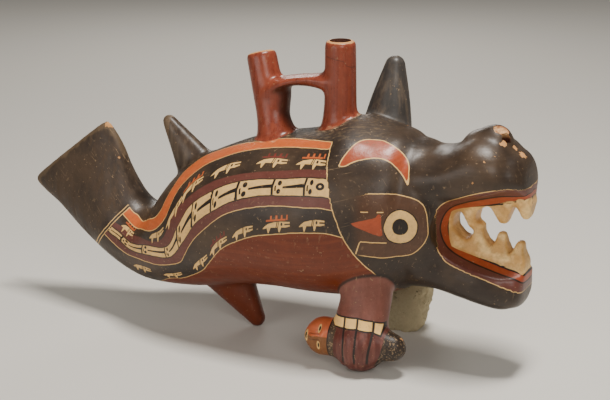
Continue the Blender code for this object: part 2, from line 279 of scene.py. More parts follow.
def roughen(obj, amount, size, seed=0.0):
    # moves each point along its normal by a broken noise
    places, normals = pointsOf(obj), normalsOf(obj)
    for i, (place, normal) in enumerate(zip(places, normals)):
        places[i] += normal * amount * noise.fractal(Vector(place / size + seed), 0.9, 2.0, 3)
    movePoints(obj, places)


# camera, light and floor

studio = {
    "cameraAt": (0.4732, -0.9516, 0.4255),
    "cameraLooksAt": (0.0294, 0.0, 0.1028),
    "lens": 91.53, "sensorWidth": 36, "viewEnd": 20,
    "floorColour": "#D8D5CE", "floorSize": 8, "floorRoughness": 0.9,
    "worldColour": "#BBB7B0", "worldStrength": 0.34, "lightColour": "#FFFAF3",
    # name: place, point it faces, length and width, watts
    "lights": {
        "topSoftbox": ((0.24, -0.03, 1.1), (0.1, 0.0, 0.09), (0.28, 0.15), 15),
        "frontFill": ((-0.5, -1.35, 0.42), (0.0, 0.0, 0.09), (0.9, 0.7), 6),
        "cameraFill": ((1.0, -1.3, 0.95), (0.03, 0.0, 0.09), (0.8, 0.6), 9),
        "backRim": ((-0.5, 1.1, 0.6), (0.03, 0.0, 0.12), (0.5, 0.3), 3),
    },
}


def linear(hexColour):
    found = []
    for i in (1, 3, 5):
        c = int(hexColour[i:i + 2], 16) / 255
        found.append(c / 12.92 if c <= 0.04045 else ((c + 0.055) / 1.055) ** 2.4)
    return (*found, 1.0)


def aim(obj, place, target):
    obj.location = place
    obj.rotation_euler = (Vector(target) - Vector(place)).to_track_quat("-Z", "Y").to_euler()


def feed(made, *inputs, **named):
    # sets a node's inputs, in order or by name, each to a value, an output socket or a node
    for key, value in (*enumerate(inputs), *named.items()):
        if isinstance(key, str):
            key = int(key[2:]) if key[2:].isdigit() else key.replace("_", " ")
        if isinstance(value, bpy.types.Node):
            value = value.outputs[0]
        if isinstance(value, bpy.types.NodeSocket):
            tree.links.new(value, made.inputs[key])
        else:
            made.inputs[key].default_value = value
    return made


mainSetting = {"Mix": "data_type", "Attribute": "attribute_name"}  # on other kinds it is operation


def node(kind, settings=None, *inputs, **named):
    # adds one node with its settings and links; a string in their place is its main setting
    made = tree.nodes.new("ShaderNode" + kind)
    if isinstance(settings, str):
        settings = {mainSetting.get(kind, "operation"): settings}
    for key, value in (settings or {}).items():
        setattr(made, key, value)
    return feed(made, *inputs, **named)


def buildStudio():
    scene = bpy.context.scene
    camera = added("camera", bpy.data.cameras.new("camera"))
    camera.data.lens = studio["lens"]
    camera.data.sensor_width = studio["sensorWidth"]
    camera.data.clip_end = studio["viewEnd"]
    aim(camera, studio["cameraAt"], studio["cameraLooksAt"])
    scene.camera = camera
    for name, (place, target, size, watts) in studio["lights"].items():
        light = added(name, bpy.data.lights.new(name, "AREA"))
        light.data.shape = "RECTANGLE"
        light.data.size, light.data.size_y = size
        light.data.energy = watts
        light.data.color = linear(studio["lightColour"])[:3]
        aim(light, place, target)
    scene.world = bpy.data.worlds.new("studioWorld")
    scene.world.use_nodes = True
    feed(scene.world.node_tree.nodes["Background"], Color=linear(studio["worldColour"]),
         Strength=studio["worldStrength"])
    deselectAll()
    bpy.ops.mesh.primitive_plane_add(size=studio["floorSize"], location=(0, 0, 0))
    floor = bpy.context.object
    floor.name = "floor"
    paper, shader = newMaterial("floorPaper")
    feed(shader, Base_Color=linear(studio["floorColour"]), Roughness=studio["floorRoughness"])
    coverWith(floor, paper)
    print("studio ready")


# the whale's shape

body = {
    # from the fan's edge to the brow: low x, low z, top x, top z, half width
    "rails": [
        (-198.3, 88, -129, 142.5, 5.5), (-188, 81, -123.5, 134, 9), (-177, 74.5, -119, 125, 13),
        (-166, 66, -115, 113, 17), (-155, 57.5, -110.5, 102, 20.5), (-142, 49, -104.5, 91, 24),
        (-126, 39.5, -97, 84.5, 27), (-109, 32, -89.5, 84, 31), (-93, 28, -83, 92, 36),
        (-77.5, 27.3, -76.5, 103, 41), (-62, 28, -67, 114.5, 45), (-46, 30, -53.5, 125, 49),
        (-28, 34, -35, 134.5, 53), (-8, 38, -12, 144, 56), (16, 40, 14, 151, 58),
        (38, 40, 37, 156, 59), (57, 40.5, 58, 163, 59), (74, 42, 72, 168.5, 58),
        (94, 46, 92, 164.5, 54), (108, 50, 106, 162.5, 48), (117, 55, 115, 158, 40),
    ],
    "fullness": 2.1, "fanEdge": 4.5, "browDepth": 24,
    "wall": 5.5, "hollowFrom": 3, "hollowFront": 12,
    "voxel": 1.47, "softened": 12, "softenedLast": 3, "unevenness": (0.14, 34),  # depth, size
}
head = {
    # upright sections: x, low z, top z, half width
    "snout": [(100, 110, 151, 32), (118, 112, 153, 33), (137, 115, 155, 32), (148, 117, 160.5, 32),
              (158, 118, 166.5, 32), (169, 119, 166, 31.5), (180, 121, 162, 29), (188, 123.5, 157.5, 24.5)],
    "snoutTip": 11.5, "snoutFullness": 2.2, "snoutHollowTo": 185, "snoutHollowTip": 4,
    "jaw": [(100, 54, 94, 26), (118, 55, 92, 28), (134, 55.5, 88, 27), (150, 52, 85, 25.5),
            (166, 48.5, 82, 25), (180, 46.5, 80, 23), (189, 48.5, 78, 19)],
    "jawTip": 8, "jawFullness": 2.3,
    "cheeks": [(108, 72, 140, 32), (128, 62, 142, 27.5), (146, 58, 144, 24.5), (170, 56, 144, 22.5),
               (186, 57, 142, 19.5), (194, 60, 139, 14)],
    "cheeksTip": 3.5, "cheeksFullness": 4,
    # centre and half sizes
    "bump": ((169, 0, 160), (15, 12, 13)), "bumpBack": ((160, 0, 154.5), (15, 17, 14.5)),
    "snoutPullBack": 6.2, "jawPullBack": 2.6, "frontSoftened": 40,
    # the break's chip: centre and half sizes; its hole: both ends and radius; how ragged: depth, size, seed
    "breakChip": ((176.5, -4.5, 173.5), (8, 7, 6)), "breakHole": ((179, -6.5, 172), (171.5, -1, 149), 3.4),
    "chipRagged": (2.2, 5, 3.0), "holeRagged": (1.2, 4, 7.0),
}
mouth = {
    # the gum edge from the upper lip round the corner to the lower lip: x, z
    "gumEdge": [(225, 136), (186, 124), (169, 119), (154, 115), (145, 111), (141.5, 104),
                (141.5, 97), (145, 91), (156, 85), (171, 80.5), (186, 77), (225, 70)],
    "flare": 10, "forward": 4, "raise": 2.5, "flareFrom": 9, "flareTo": 22.5,
    "gumHalfWidth": 7.5, "gumOverlap": 4, "gumSteps": 88, "gumKept": (8, 81), "voxel": 0.7,
    "gumFrontTop": (197, 129.8), "gumFrontLow": (196, 72.1),
    "gumFrontUpper": (197.6, 124), "gumFrontLower": (197, 80),
    "gumCorner": [(144, 109), (142.4, 100.5), (149, 93.5)],
    # root x, root z, tip x, tip z, half width at the root
    "upperTeeth": [(191.5, 123, 192.6, 111.4, 6.2), (176, 119, 177, 106.2, 8), (153.6, 114, 156, 100, 5.8)],
    "lowerTeeth": [(160, 92.5, 160.6, 104.4, 5.6), (176, 88.5, 175.8, 100, 6.2),
                   (189.8, 84, 189.6, 95.2, 6)],
    # the plate thins from gum to tooth over these distances from the gum edge
    "toothTip": 2.5, "gumThick": 1.2, "toothThin": 0.45, "thins": (3, 20), "softened": 20,
}
fins = {
    # root, tip, half size along the whale, half size across, tip radius, how far the sides bulge
    "rearFin": ((-46.5, 0, 102), (-79.5, 0, 149), 22.5, 13, 5.2),
    "farFin": ((78, 26, 132), (82, 36, 198), 20.6, 14.5, 7.4, 2.2),
    "bellyFin": ((-35, 0, 42), (-11, 3, 5.8), 22, 13, 6.6),
}
spouts = {
    # root and rim
    "headSpout": ((56.5, 0, 146), (56, 0, 220)),
    "tailSpout": ((11, -3, 139), (-8.5, 8, 205)),
    "radius": 10.8, "rootRadius": 15.5, "bore": 7.3, "boreBelow": 12, "borePast": 8,
    # share of the way up, share of the root's extra radius
    "flare": [(0, 1), (0.16, 0.72), (0.26, 0.34), (0.38, 0.12), (0.97, 0), (1, -0.12)],
    "crack": [(48, 210), (62, 207.4), (64, 204), (66.6, 202.5), (68, 203)],  # x, z
    # x, y, z, half thickness, half width
    "bridge": [(0.5, 4, 162, 4.5, 11.2), (-0.5, 4, 173, 5.4, 11.8), (7, 3, 183.4, 4.6, 11.4),
               (20, 2, 188.4, 3.6, 10.4), (33, 1, 190, 3.9, 10.2), (44, 0, 190.6, 5.6, 10.5),
               (52, 0, 189.5, 8, 10.6)],
    "bridgeEdge": [(-3, -3.5, 172, 2.2, 2.6), (-1.5, -5.5, 176.5, 2.2, 2.6), (6, -7, 182, 2.2, 2.6),
                   (17.5, -8, 188.1, 2.2, 2.6), (35, -8.5, 192.2, 2.2, 2.6), (48.6, -8.8, 190.8, 2.2, 2.6),
                   (57, -9, 187.6, 2.2, 2.6)],
    # x, y, z, half length, half width
    "bridgeRoot": [(7.5, 0, 150, 9.5, 9), (6.5, 1.5, 165, 9.6, 9.5), (7, 2.5, 178, 9.8, 10),
                   (8, 3, 186, 7, 9.5)],
}
hand = {
    "arm": [(91, -25, 82, 22, 17), (90, -29, 66, 19.5, 15.5), (91, -33, 50, 18.3, 14.5),
            (90, -37, 38, 18.7, 15.5), (90, -39, 27, 18.5, 16)],
    "fistCentre": (90, -40, 19.6), "fistHalf": 19.5, "fistRadius": 20,
    "groove": 0.8, "grooveHalf": 1.3, "fingerLine": 0.75,
    # where the fingers part: height, x
    "fingerLines": [[(0, 82.6), (13, 84.4), (25, 84.3), (33, 82.9), (42, 82.6)],
                    [(0, 91), (13, 92.8), (25, 93.3), (33, 92.6), (42, 92.4)],
                    [(0, 98), (13, 100.8), (25, 102.6), (33, 102.9), (42, 102.8)]],
    # where the nails end above: x, z
    "nailTop": [(70, 38.4), (82, 40), (92, 40.9), (102, 39.3), (110.5, 36), (114, 34.6)],
    "nailHeight": 6.2,
    # where the hair begins: height, x
    "hairLine": [(0, 101), (8, 104), (18, 109.5), (26, 111), (36, 111.6), (50, 112)],
    "hair": ((102.5, -41, 21.5), (114.5, -41, 20.5), 13.5, 13, 9.5),
}
trophy = {
    "centre": (63.5, -41, 20.5), "radii": (13.5, 13, 14),
    "turnedUp": 16,
    "bandFrom": (63.5, -41, 20.6), "bandTo": (80, -40.5, 20.4), "bandRadii": (13, 14.2),
    # reliefs: up the face, to each side, half sizes, rise
    "face": {"brow": (4.2, 5.2, 1.6, 4.6, 1.6), "eye": (0.4, 5.8, 1.9, 3.2, -1.6),
             "nose": (-2.6, 0, 3.6, 2.1, 5.2), "lips": (-9.3, 0, 1.4, 3.6, 1.3),
             "chin": (-12, 0, 2.4, 5, 1.4), "lowerFace": (-10, 0, 5, 8, 1.6), "cheek": (-5, 7, 4, 3, 0.6)},
}


def bodySections(perStation, inset=0.0, first=0.0, front=None, ends=9):
    count = int((len(body["rails"]) - 1) * perStation)
    rows = curved(body["rails"], count)
    kept = [railSection(row, inset) for i, row in enumerate(rows) if i / perStation >= first]
    tail = roundedEnd(kept[0], kept[1], body["fanEdge"], 4)
    return tail[::-1] + kept + roundedEnd(kept[-1], kept[-2], front or body["browDepth"], ends)


def uprightSections(rows, tip, inset=0.0, perRow=6):
    # x, low z, top z and half width, rounded at the last one
    sections = []
    for x, low, top, wide in curved(rows, (len(rows) - 1) * perRow):
        up = (top - low) / 2 - inset
        sections.append(section((x, 0, (low + top) / 2), (0, 0, up), (0, wide - inset, 0)))
    return sections + roundedEnd(sections[-1], sections[-2], tip)


def headForm(name, segments):
    sections = uprightSections(head[name], head[name + "Tip"])
    return skin(name, sections, segments, head[name + "Fullness"])


def spoutFrame(name):
    root, rim = np.array(spouts[name], float)
    axis = unit(rim - root)
    along = unit(np.array((1.0, 0.0, 0.0)) - axis * axis[0])
    return root, rim, axis, along, np.cross(axis, along)


def spout(name):
    root, rim, _, along, across = spoutFrame(name)
    shares, extras = np.array(spouts["flare"]).T
    sections = []
    for t in np.linspace(0, 1, 41):
        radius = spouts["radius"] + (spouts["rootRadius"] - spouts["radius"]) * np.interp(t, shares, extras)
        sections.append(section(root + (rim - root) * t, along * radius, across * radius))
    return skin(name, sections, 64)


def spoutBore(name):
    root, rim, axis, along, across = spoutFrame(name)
    ends = (root - axis * spouts["boreBelow"], rim + axis * spouts["borePast"])
    size = spouts["bore"]
    return skin(name + "Bore", [section(end, along * size, across * size) for end in ends], 40)


def strap(name, count, segments, fullness):
    # the bridge, and the rolled edge on it that catches the light
    rows = curved(spouts[name], count)
    sections = []
    for row, run in zip(rows, np.gradient(rows[:, :3], axis=0)):
        sections.append(section(row[:3], unit(np.cross(run, (0, -1, 0))) * row[3], (0, row[4], 0)))
    return skin(name, sections, segments, fullness)


def levelForm(name, rows, count, segments, fullness=2.0):
    # a form whose sections lie level
    sections = []
    for x, y, z, halfX, halfY in curved(rows, count):
        sections.append(section((x, y, z), (halfX, 0, 0), (0, halfY, 0)))
    return skin(name, sections, segments, fullness)


def fistBall():
    # a ball drawn out along x, its two ends a little flat
    sections = []
    for t in np.linspace(-1, 1, 49):
        reach = 0.985 * math.sin(t * math.pi / 2)
        radius = hand["fistRadius"] * math.sqrt(max(1 - reach**2, 0.02))
        centre = np.array(hand["fistCentre"]) + (hand["fistHalf"] * reach, 0, 0)
        sections.append(section(centre, (0, 0, radius), (0, radius, 0)))
    return skin("fist", sections, 64)


def hairBand():
    # its end at the face is drawn in, so that it lies close to the small head
    start, end = np.array((trophy["bandFrom"], trophy["bandTo"]))
    across, up = trophy["bandRadii"]
    sections = []
    for t in np.linspace(0, 1, 9):
        size = 1 - 0.12 * (1 - t) ** 2
        sections.append(section(start + (end - start) * t, (0, 0, up * size), (0, across * size, 0)))
    return skin("hairBand", sections, 48)


def gumEdge():
    return curved(mouth["gumEdge"], mouth["gumSteps"])


def mouthCutter():
    edge, start, end = gumEdge(), mouth["flareFrom"], mouth["flareTo"]
    layers = []
    for y in (start, start + 2.5, start + 5.5, start + 9, end - 2, end, end * 3):
        t = min((y - start) / (end - start), 1)
        moved = movedOut(edge, mouth["flare"] * t) + np.array((mouth["forward"], mouth["raise"])) * t
        layers.append((y, moved))
    return slab("mouthCutter", [(-y, outline) for y, outline in reversed(layers)] + layers)


def toothOutline(tooth, way):
    x, z, tipX, tipZ, half = tooth
    tip = mouth["toothTip"]
    middle = (tip + half) / 2 - 0.5
    centreX, centreZ = (x + tipX) / 2, (z + tipZ) / 2
    return [(x - half * way, z), (centreX - middle * way, centreZ), (tipX - tip * way, tipZ),
            (tipX + tip * way, tipZ), (centreX + middle * way, centreZ), (x + half * way, z)]


def besideGumEdge(points):
    edge = gumEdge()
    return distanceToLine(points * (1, 0, 1), np.column_stack((edge[:, 0], edge[:, 0] * 0, edge[:, 1])))


def gumPlate():
    # one plate across the mouth: its outer edge lies in the lips, its inner edge carries the teeth
    inner = [mouth["gumFrontUpper"]]
    for tooth in mouth["upperTeeth"]:
        inner += toothOutline(tooth, -1)
    inner += mouth["gumCorner"]
    for tooth in mouth["lowerTeeth"]:
        inner += toothOutline(tooth, 1)
    inner.append(mouth["gumFrontLower"])
    outer = movedOut(gumEdge()[slice(*mouth["gumKept"])], mouth["gumOverlap"])
    outline = np.vstack(([mouth["gumFrontTop"]], outer, [mouth["gumFrontLow"]], inner[::-1]))
    thick = mouth["gumHalfWidth"]
    gums = slab("gums", [(-thick, outline), (thick, outline)])
    remesh(gums, mouth["voxel"])
    places = pointsOf(gums)
    inward = smoothStep(besideGumEdge(places), *mouth["thins"])
    places[:, 1] *= mouth["gumThick"] + (mouth["toothThin"] - mouth["gumThick"]) * inward
    movePoints(gums, places)
    smooth(gums, mouth["softened"])
    return gums


def buildForms():
    # every form that was joined to the body in the wet clay, by the region it is painted as
    return {
        "body": [skin("bodyForm", bodySections(6), 110, body["fullness"])],
        "head": [
            headForm("snout", 80), headForm("jaw", 80), headForm("cheeks", 88),
            ball("bump", *head["bump"]), ball("bumpBack", *head["bumpBack"]),
        ],
        **{name: [cone(name, *shape)] for name, shape in fins.items()},
        "spouts": [spout("headSpout"), spout("tailSpout"), strap("bridge", 48, 48, 2.6),
                   strap("bridgeEdge", 36, 24, 2.0),
                   levelForm("bridgeRoot", spouts["bridgeRoot"], 18, 48, 2.2)],
        "arm": [levelForm("arm", hand["arm"], 24, 56)],
        "fist": [fistBall()],
        "trophy": [ball("trophyHead", trophy["centre"], trophy["radii"]), hairBand()],
        "hair": [cone("hair", *hand["hair"])],
    }


def hollowCutter():
    bodyHollow = skin("bodyHollow", bodySections(2, body["wall"], body["hollowFrom"], body["hollowFront"], 4),
                      36, body["fullness"])
    rows = [row for row in head["snout"] if row[0] < head["snoutHollowTo"]]
    snoutHollow = skin("snoutHollow", uprightSections(rows, head["snoutHollowTip"], body["wall"], 2), 32,
                       head["snoutFullness"])
    for extra in (snoutHollow, spoutBore("headSpout"), spoutBore("tailSpout")):
        cut(bodyHollow, extra, "UNION")
    return bodyHollow


def faceOf(points):
    # places on the small face: across it, up it towards the crown (+X), and out of it
    away = points - trophy["centre"]
    turn = math.radians(trophy["turnedUp"])
    across = away[:, 1] * math.sin(turn) + away[:, 2] * math.cos(turn)
    outward = away[:, 2] * math.sin(turn) - away[:, 1] * math.cos(turn)
    return across, away[:, 0], outward


def pulledBack(points):
    # how far the snout's front and the jaw's front were pressed back
    x, _, z = points.T
    return (head["snoutPullBack"] * smoothStep(z, 116, 150) * smoothStep(x, 170, 199)
            + head["jawPullBack"] * smoothStep(-z, -100, -84) * smoothStep(x, 168, 199))


def beforePressing(points):
    found = points.copy()
    for _ in range(4):
        found[:, 0] = points[:, 0] + pulledBack(found)
    return found


def shapeByHand(obj):
    # what the potter did last: fingers parted, the face set, the snout's front pressed back
    places = onFloor(pointsOf(obj))
    x, y, z = places.T.copy()
    places[:, 0] -= pulledBack(places)
    away = places - hand["fistCentre"]
    reach = np.linalg.norm(away, axis=1)
    onFist = smoothStep(-reach, -26, -22.5) * smoothStep(x, 72, 75) * smoothStep(-x, -113, -109)
    lowSide = smoothStep(-y, 44, 50) * smoothStep(-z, -43, -38)
    for line in hand["fingerLines"]:
        offset = x - np.interp(z, *np.array(line).T)
        depth = hand["groove"] * np.exp(-(offset / hand["grooveHalf"]) ** 2) * onFist * lowSide
        places -= away / reach[:, None] * depth[:, None]
    # the face, calm and plain
    across, high, outward = faceOf(places)
    onFace = smoothStep(outward, 3, 8) * smoothStep(-places[:, 0], -75, -72)
    relief = np.zeros(len(places))
    for up, side, halfUp, halfSide, rise in trophy["face"].values():
        for centre in sorted({side, -side}):
            relief += rise * np.exp(-((high - up) / halfUp) ** 2 - ((across - centre) / halfSide) ** 2)
    turn = math.radians(trophy["turnedUp"])
    places += np.outer(relief * onFace, (0, -math.cos(turn), math.sin(turn)))
    movePoints(obj, places)


def softenFront(obj):
    # rounds the snout's front again where it was pressed
    x, _, z = pointsOf(obj).T
    amount = smoothStep(x, 168, 180) * smoothStep(z, 129, 139)
    group = obj.vertex_groups.new(name="front")
    for i in np.flatnonzero(amount > 0.02):
        group.add([int(i)], float(amount[i]), "REPLACE")
    smooth(obj, head["frontSoftened"], vertex_group="front")
    obj.vertex_groups.clear()


def buildVessel():
    forms = buildForms()
    skins = {region: [treeOf(part) for part in parts] for region, parts in forms.items()}
    vessel = joinAll("vesselDressed", [part for parts in forms.values() for part in parts])
    remesh(vessel, body["voxel"])
    smooth(vessel, body["softened"])
    print("forms joined:", len(vessel.data.polygons), "faces")
    cut(vessel, mouthCutter())
    gums = gumPlate()
    skins["gums"] = [treeOf(gums)]
    vessel = joinAll("vesselDressed", [vessel, gums])
    remesh(vessel, body["voxel"])
    smooth(vessel, body["softenedLast"])
    shapeByHand(vessel)
    softenFront(vessel)
    roughen(vessel, *body["unevenness"])
    movePoints(vessel, onFloor(pointsOf(vessel)))
    print("mouth cut and gums set:", len(vessel.data.polygons), "faces")
    return vessel, skins


def breakCutters():
    chip = ball("breakChip", *head["breakChip"], segments=36, rings=24)
    roughen(chip, *head["chipRagged"])
    start, end, radius = head["breakHole"]
    hole = cone("breakHole", start, end, radius * 1.3, radius, radius * 0.8, 0.0, 14, 24)
    roughen(hole, *head["holeRagged"])
    return chip, hole


# where the paint goes

flank = {
    # painted lines along the flank: station along the body, height up the section from -1 to 1
    "lines": {
        "orangeTop": [(4.95, .79), (5.65, .787), (6.5, .79), (8.45, .585), (9.5, .472), (10, .522),
                      (10.2, .626), (10.5, .766), (10.75, .889), (11.1, .953), (11.5, .987), (12.4, .983),
                      (13.3, .974), (14.25, .969), (15.05, .948), (16.5, .851)],
        "orangeLow": [(5.15, .6), (6.05, .59), (7.45, .529), (9.1, .295), (9.9, .267), (10.45, .366),
                      (10.75, .544), (11, .692), (11.45, .805), (11.95, .875), (12.6, .896), (13.25, .907),
                      (14, .904), (15, .886), (16.35, .799)],
        "blackLow": [(5.3, .302), (6.1, .396), (7.5, .348), (9.45, .064), (10.25, .053), (10.75, .25),
                     (11.1, .411), (11.65, .531), (12.35, .625), (13.15, .664), (14.05, .677), (15.35, .667),
                     (16.7, .592)],
        "panelTop": [(5.25, .133), (6.1, .201), (8.45, .076), (10.4, -.106), (11.2, .149), (11.8, .406),
                     (12.6, .519), (13.45, .585), (14.5, .594), (15.65, .57), (16.85, .5)],
        "panelLow": [(5.5, -.01), (6.35, .042), (8.5, -.112), (10.45, -.278), (11.45, -.068), (12.1, .163),
                     (12.9, .296), (13.55, .384), (14.6, .424), (15.8, .384), (16.95, .315)],
        "creamLine": [(6.65, -.183), (7.95, -.218), (9.45, -.383), (10.4, -.415), (11.1, -.381), (11.4, -.28),
                      (11.95, -.073), (12.6, .088), (13.1, .194), (13.65, .26), (14.3, .29), (14.95, .301),
                      (15.9, .252), (17.15, .186)],
        "bellyLine": [(8.2, -1.1), (9, -.86), (9.9, -.711), (10.7, -.699), (11.45, -.637), (12, -.566),
                      (12.55, -.405), (13, -.258), (13.6, -.141), (14.3, -.062), (15.4, -.025),
                      (16.65, -.055), (17.55, -.104)],
        "rowOne": [(5.2, .45), (6.4, .4), (8.2, .3), (9.75, .13), (10.4, .2), (11, .39), (11.7, .65),
                   (12.9, .764), (14.35, .774), (15.9, .703), (17, .62)],
        "rowTwo": [(7, -.4), (8.4, -.488), (10.35, -.634), (12.05, -.435), (12.9, -.199), (13.8, -.012),
                   (14.9, .07), (16.3, .058), (17.2, .03)],
    },
    "tailStation": 5.1,
    "dividers": [5.05, 6.2, 8.4, 10.3, 11.15, 11.9, 12.65, 13.45, 14.6, 15.75, 17.05],
    # figures: station, scribble above it (1 orange, 2 maroon, 0 none), length in mm, height as a share
    "figuresOne": [(6.35, 1, 15, 1), (9.8, 0, 18, 1.15), (11, 0, 18, 1.4), (11.7, 1, 20, 1.3),
                   (12.9, 0, 25, 1.35), (14.35, 2, 26, 1.2), (15.8, 1, 26, 1.2)],
    "figuresTwo": [(8.3, 0, 20, 1.1), (10.3, 0, 20, 1), (12, 0, 18, 1.1), (12.9, 2, 18, 1.1),
                   (13.75, 0, 18, 1.15), (14.9, 1, 22, 1.15), (16.25, 0, 20, 1.2)],
    "neckLine": [(60, -18, 163), (64.4, -30.9, 157.4), (66.4, -43, 147.8), (69.4, -50.7, 136.4),
                 (74.5, -55.7, 120.4), (78.4, -56.7, 110.6), (83.7, -55.7, 97.9), (92.2, -51.1, 83.7),
                 (101.5, -41.7, 71), (108, -30, 58), (111, -14, 51), (112, 0, 49)],
}
marks = {
    # outlines on the head's side, as x and z
    "brow": [(75.3, 144.9), (76.9, 150.2), (79.1, 154.4), (83, 158.8), (89.9, 159.6), (99.4, 158.6),
             (108.2, 155), (114.9, 149.4), (118.6, 144), (120.1, 134.4), (115.2, 140.2), (108.1, 147.2),
             (101.3, 150.1), (93.3, 150), (85.3, 148.2), (79.3, 145.2)],
    "triangle": [(87, 109.2), (97, 112), (104, 113.8), (104.6, 115.6), (106.6, 115.4), (107.3, 107),
                 (107.3, 101), (99.5, 104)],
    # short straight strokes round the eye, x and z of both ends, in the order that keeps the signs
    # between neighbours alike
    "strokes": [((94.2, 117.6), (99, 117.4)), ((104.2, 117.4), (108.1, 117.2)), ((110.1, 96), (94.4, 97.2)),
                ((94.2, 96.9), (91.2, 87.7))],
    "panel": [(97.4, 129.4), (108, 129.3), (118.2, 127.4), (124.2, 126.1), (129.8, 122.8), (132.8, 116.5),
              (134, 106.7), (134, 100.5), (132, 95), (127.1, 89.1), (121, 86.1), (109.2, 85),
              (101.1, 85.9), (92.1, 87.1)],
    "panelBack": [(84, 92), (78, 110), (86, 126)],
    "eye": (117.4, -39.4, 106.7),
    "lips": [(200, -4, 134.5), (187.1, -24.3, 136.5), (170.6, -29.5, 134.4), (151.8, -27, 126.9),
             (140.4, -25, 120.7), (137, -25.9, 113.6), (135.8, -27.4, 103), (137.5, -25.8, 92.9),
             (141.4, -25.1, 85.2), (146.1, -24, 80.2), (158.5, -22.6, 75.2), (170.5, -22.6, 72.1),
             (184.5, -20.3, 67.6), (196.3, -13.5, 63.2), (199, 0, 61.5)],
    # worn or chipped spots: place and radius
    "chips": [((189.3, -2.3, 156.2), 3.9), ((182.8, -1.8, 159.4), 2.4), ((160.6, -18.9, 161.3), 1),
              ((175.3, -21.7, 157.6), .8), ((170.1, -27.1, 154.3), 1.2), ((164, -31.4, 140.6), 1),
              ((196.3, -2, 146.3), 1.3), ((106.1, -41.1, 57.3), 1.5), ((107.6, -41.1, 50), 1.1),
              ((108.4, -37.6, 60.3), 1.1), ((120.4, -39.9, 27.4), 1.7), ((-130, -1, 142.5), 4.2),
              ((178, -10.5, 164), 3.2), ((184, 3, 161), 1.5),
              ((-57, -12.5, 117), 1.3), ((-50, -13.5, 112), 1), ((-120, -6, 118), 1.1)],
}
heights = -np.cos(np.linspace(0, math.pi, 141))  # steps up a section, closer at its two ends
rowsPerStation = 20


def bodyTables():
    # how far each place of the body lies round its section and along the body, in mm
    rows = curved(body["rails"], (len(body["rails"]) - 1) * rowsPerStation)
    low, top, wide = rows[:, 0:2], rows[:, 2:4], rows[:, 4]
    side = (1 - np.abs(heights) ** body["fullness"]) ** (1 / body["fullness"])
    middle, up = (low + top) / 2, (top - low) / 2
    grid = np.stack((middle[:, None, 0] + up[:, None, 0] * heights, wide[:, None] * side,
                     middle[:, None, 1] + up[:, None, 1] * heights), -1)
    around = np.zeros(grid.shape[:2])
    around[:, 1:] = np.cumsum(np.linalg.norm(np.diff(grid, axis=1), axis=2), axis=1)
    along = np.zeros(grid.shape[:2])
    along[1:] = np.cumsum(np.linalg.norm(np.diff(grid, axis=0), axis=2), axis=0)
    return low, top, around, along


def readTable(table, station, height):
    j = np.clip(station * rowsPerStation, 0, len(table) - 1.001)
    i = np.clip(np.interp(height, heights, np.arange(len(heights))), 0, len(heights) - 1.001)
    j0, i0 = j.astype(int), i.astype(int)
    tj, ti = j - j0, i - i0
    return ((table[j0, i0] * (1 - ti) + table[j0, i0 + 1] * ti) * (1 - tj)
            + (table[j0 + 1, i0] * (1 - ti) + table[j0 + 1, i0 + 1] * ti) * tj)


def stationsOf(points, low, top):
    # each point's station along the body, and its height up the section there
    run = top - low
    size = np.linalg.norm(run, axis=1)
    run = run / size[:, None]
    stations, ups = np.empty(len(points)), np.empty(len(points))
    chunk = 8000  # points at a time, to save memory
    for start in range(0, len(points), chunk):
        flat = points[start:start + chunk][:, [0, 2]]
        dx = flat[:, None, 0] - low[None, :, 0]
        dz = flat[:, None, 1] - low[None, :, 1]
        beside = dx * run[:, 1] - dz * run[:, 0]
        up = 2 * (dx * run[:, 0] + dz * run[:, 1]) / size - 1
        crossing = beside[:, :-1] * beside[:, 1:] <= 0
        cost = np.where(crossing, np.maximum(np.abs(up[:, :-1]) - 1, 0), 1e6)
        cost += np.where(crossing.any(axis=1)[:, None], 0, np.abs(beside[:, :-1]))
        j = cost.argmin(axis=1)
        each = np.arange(len(flat))
        a, b = beside[each, j], beside[each, j + 1]
        t = np.clip(np.where(np.abs(a - b) > 1e-9, a / (a - b + 1e-12), 0), 0, 1)
        stations[start:start + chunk] = (j + t) / rowsPerStation
        ups[start:start + chunk] = up[each, j] * (1 - t) + up[each, j + 1] * t
    return stations, ups


def heightOn(name, station):
    line = curved(flank["lines"][name], len(flank["lines"][name]) * 8)
    return np.interp(station, line[:, 0], line[:, 1])


def isInside(points, outline):
    x, z = points[:, 0], points[:, 2]
    odd = np.zeros(len(points), bool)
    for (x0, z0), (x1, z1) in zip(outline, np.roll(outline, -1, axis=0)):
        crossing = (z0 > z) != (z1 > z)
        odd ^= crossing & (x < (x1 - x0) * (z - z0) / (z1 - z0 + 1e-12) + x0)
    return odd


def layOn(outline, skinTree):
    # the line's places on the near side of the head
    dense = curved(outline, (len(outline) - 1) * 10)
    laid = []
    for x, z in dense:
        hit = skinTree.ray_cast(Vector((x, -150, z)), Vector((0, 1, 0)))[0]
        laid.append((x, hit.y if hit else -40, z))
    return dense, np.array(laid)


def nearness(points, trees, reach=24.0):
    found = np.full(len(points), reach)
    for tree in trees:
        for i, point in enumerate(points):
            hit = tree.find_nearest(Vector(point), reach)
            if hit[3] is not None and hit[3] < found[i]:
                found[i] = hit[3]
    return found


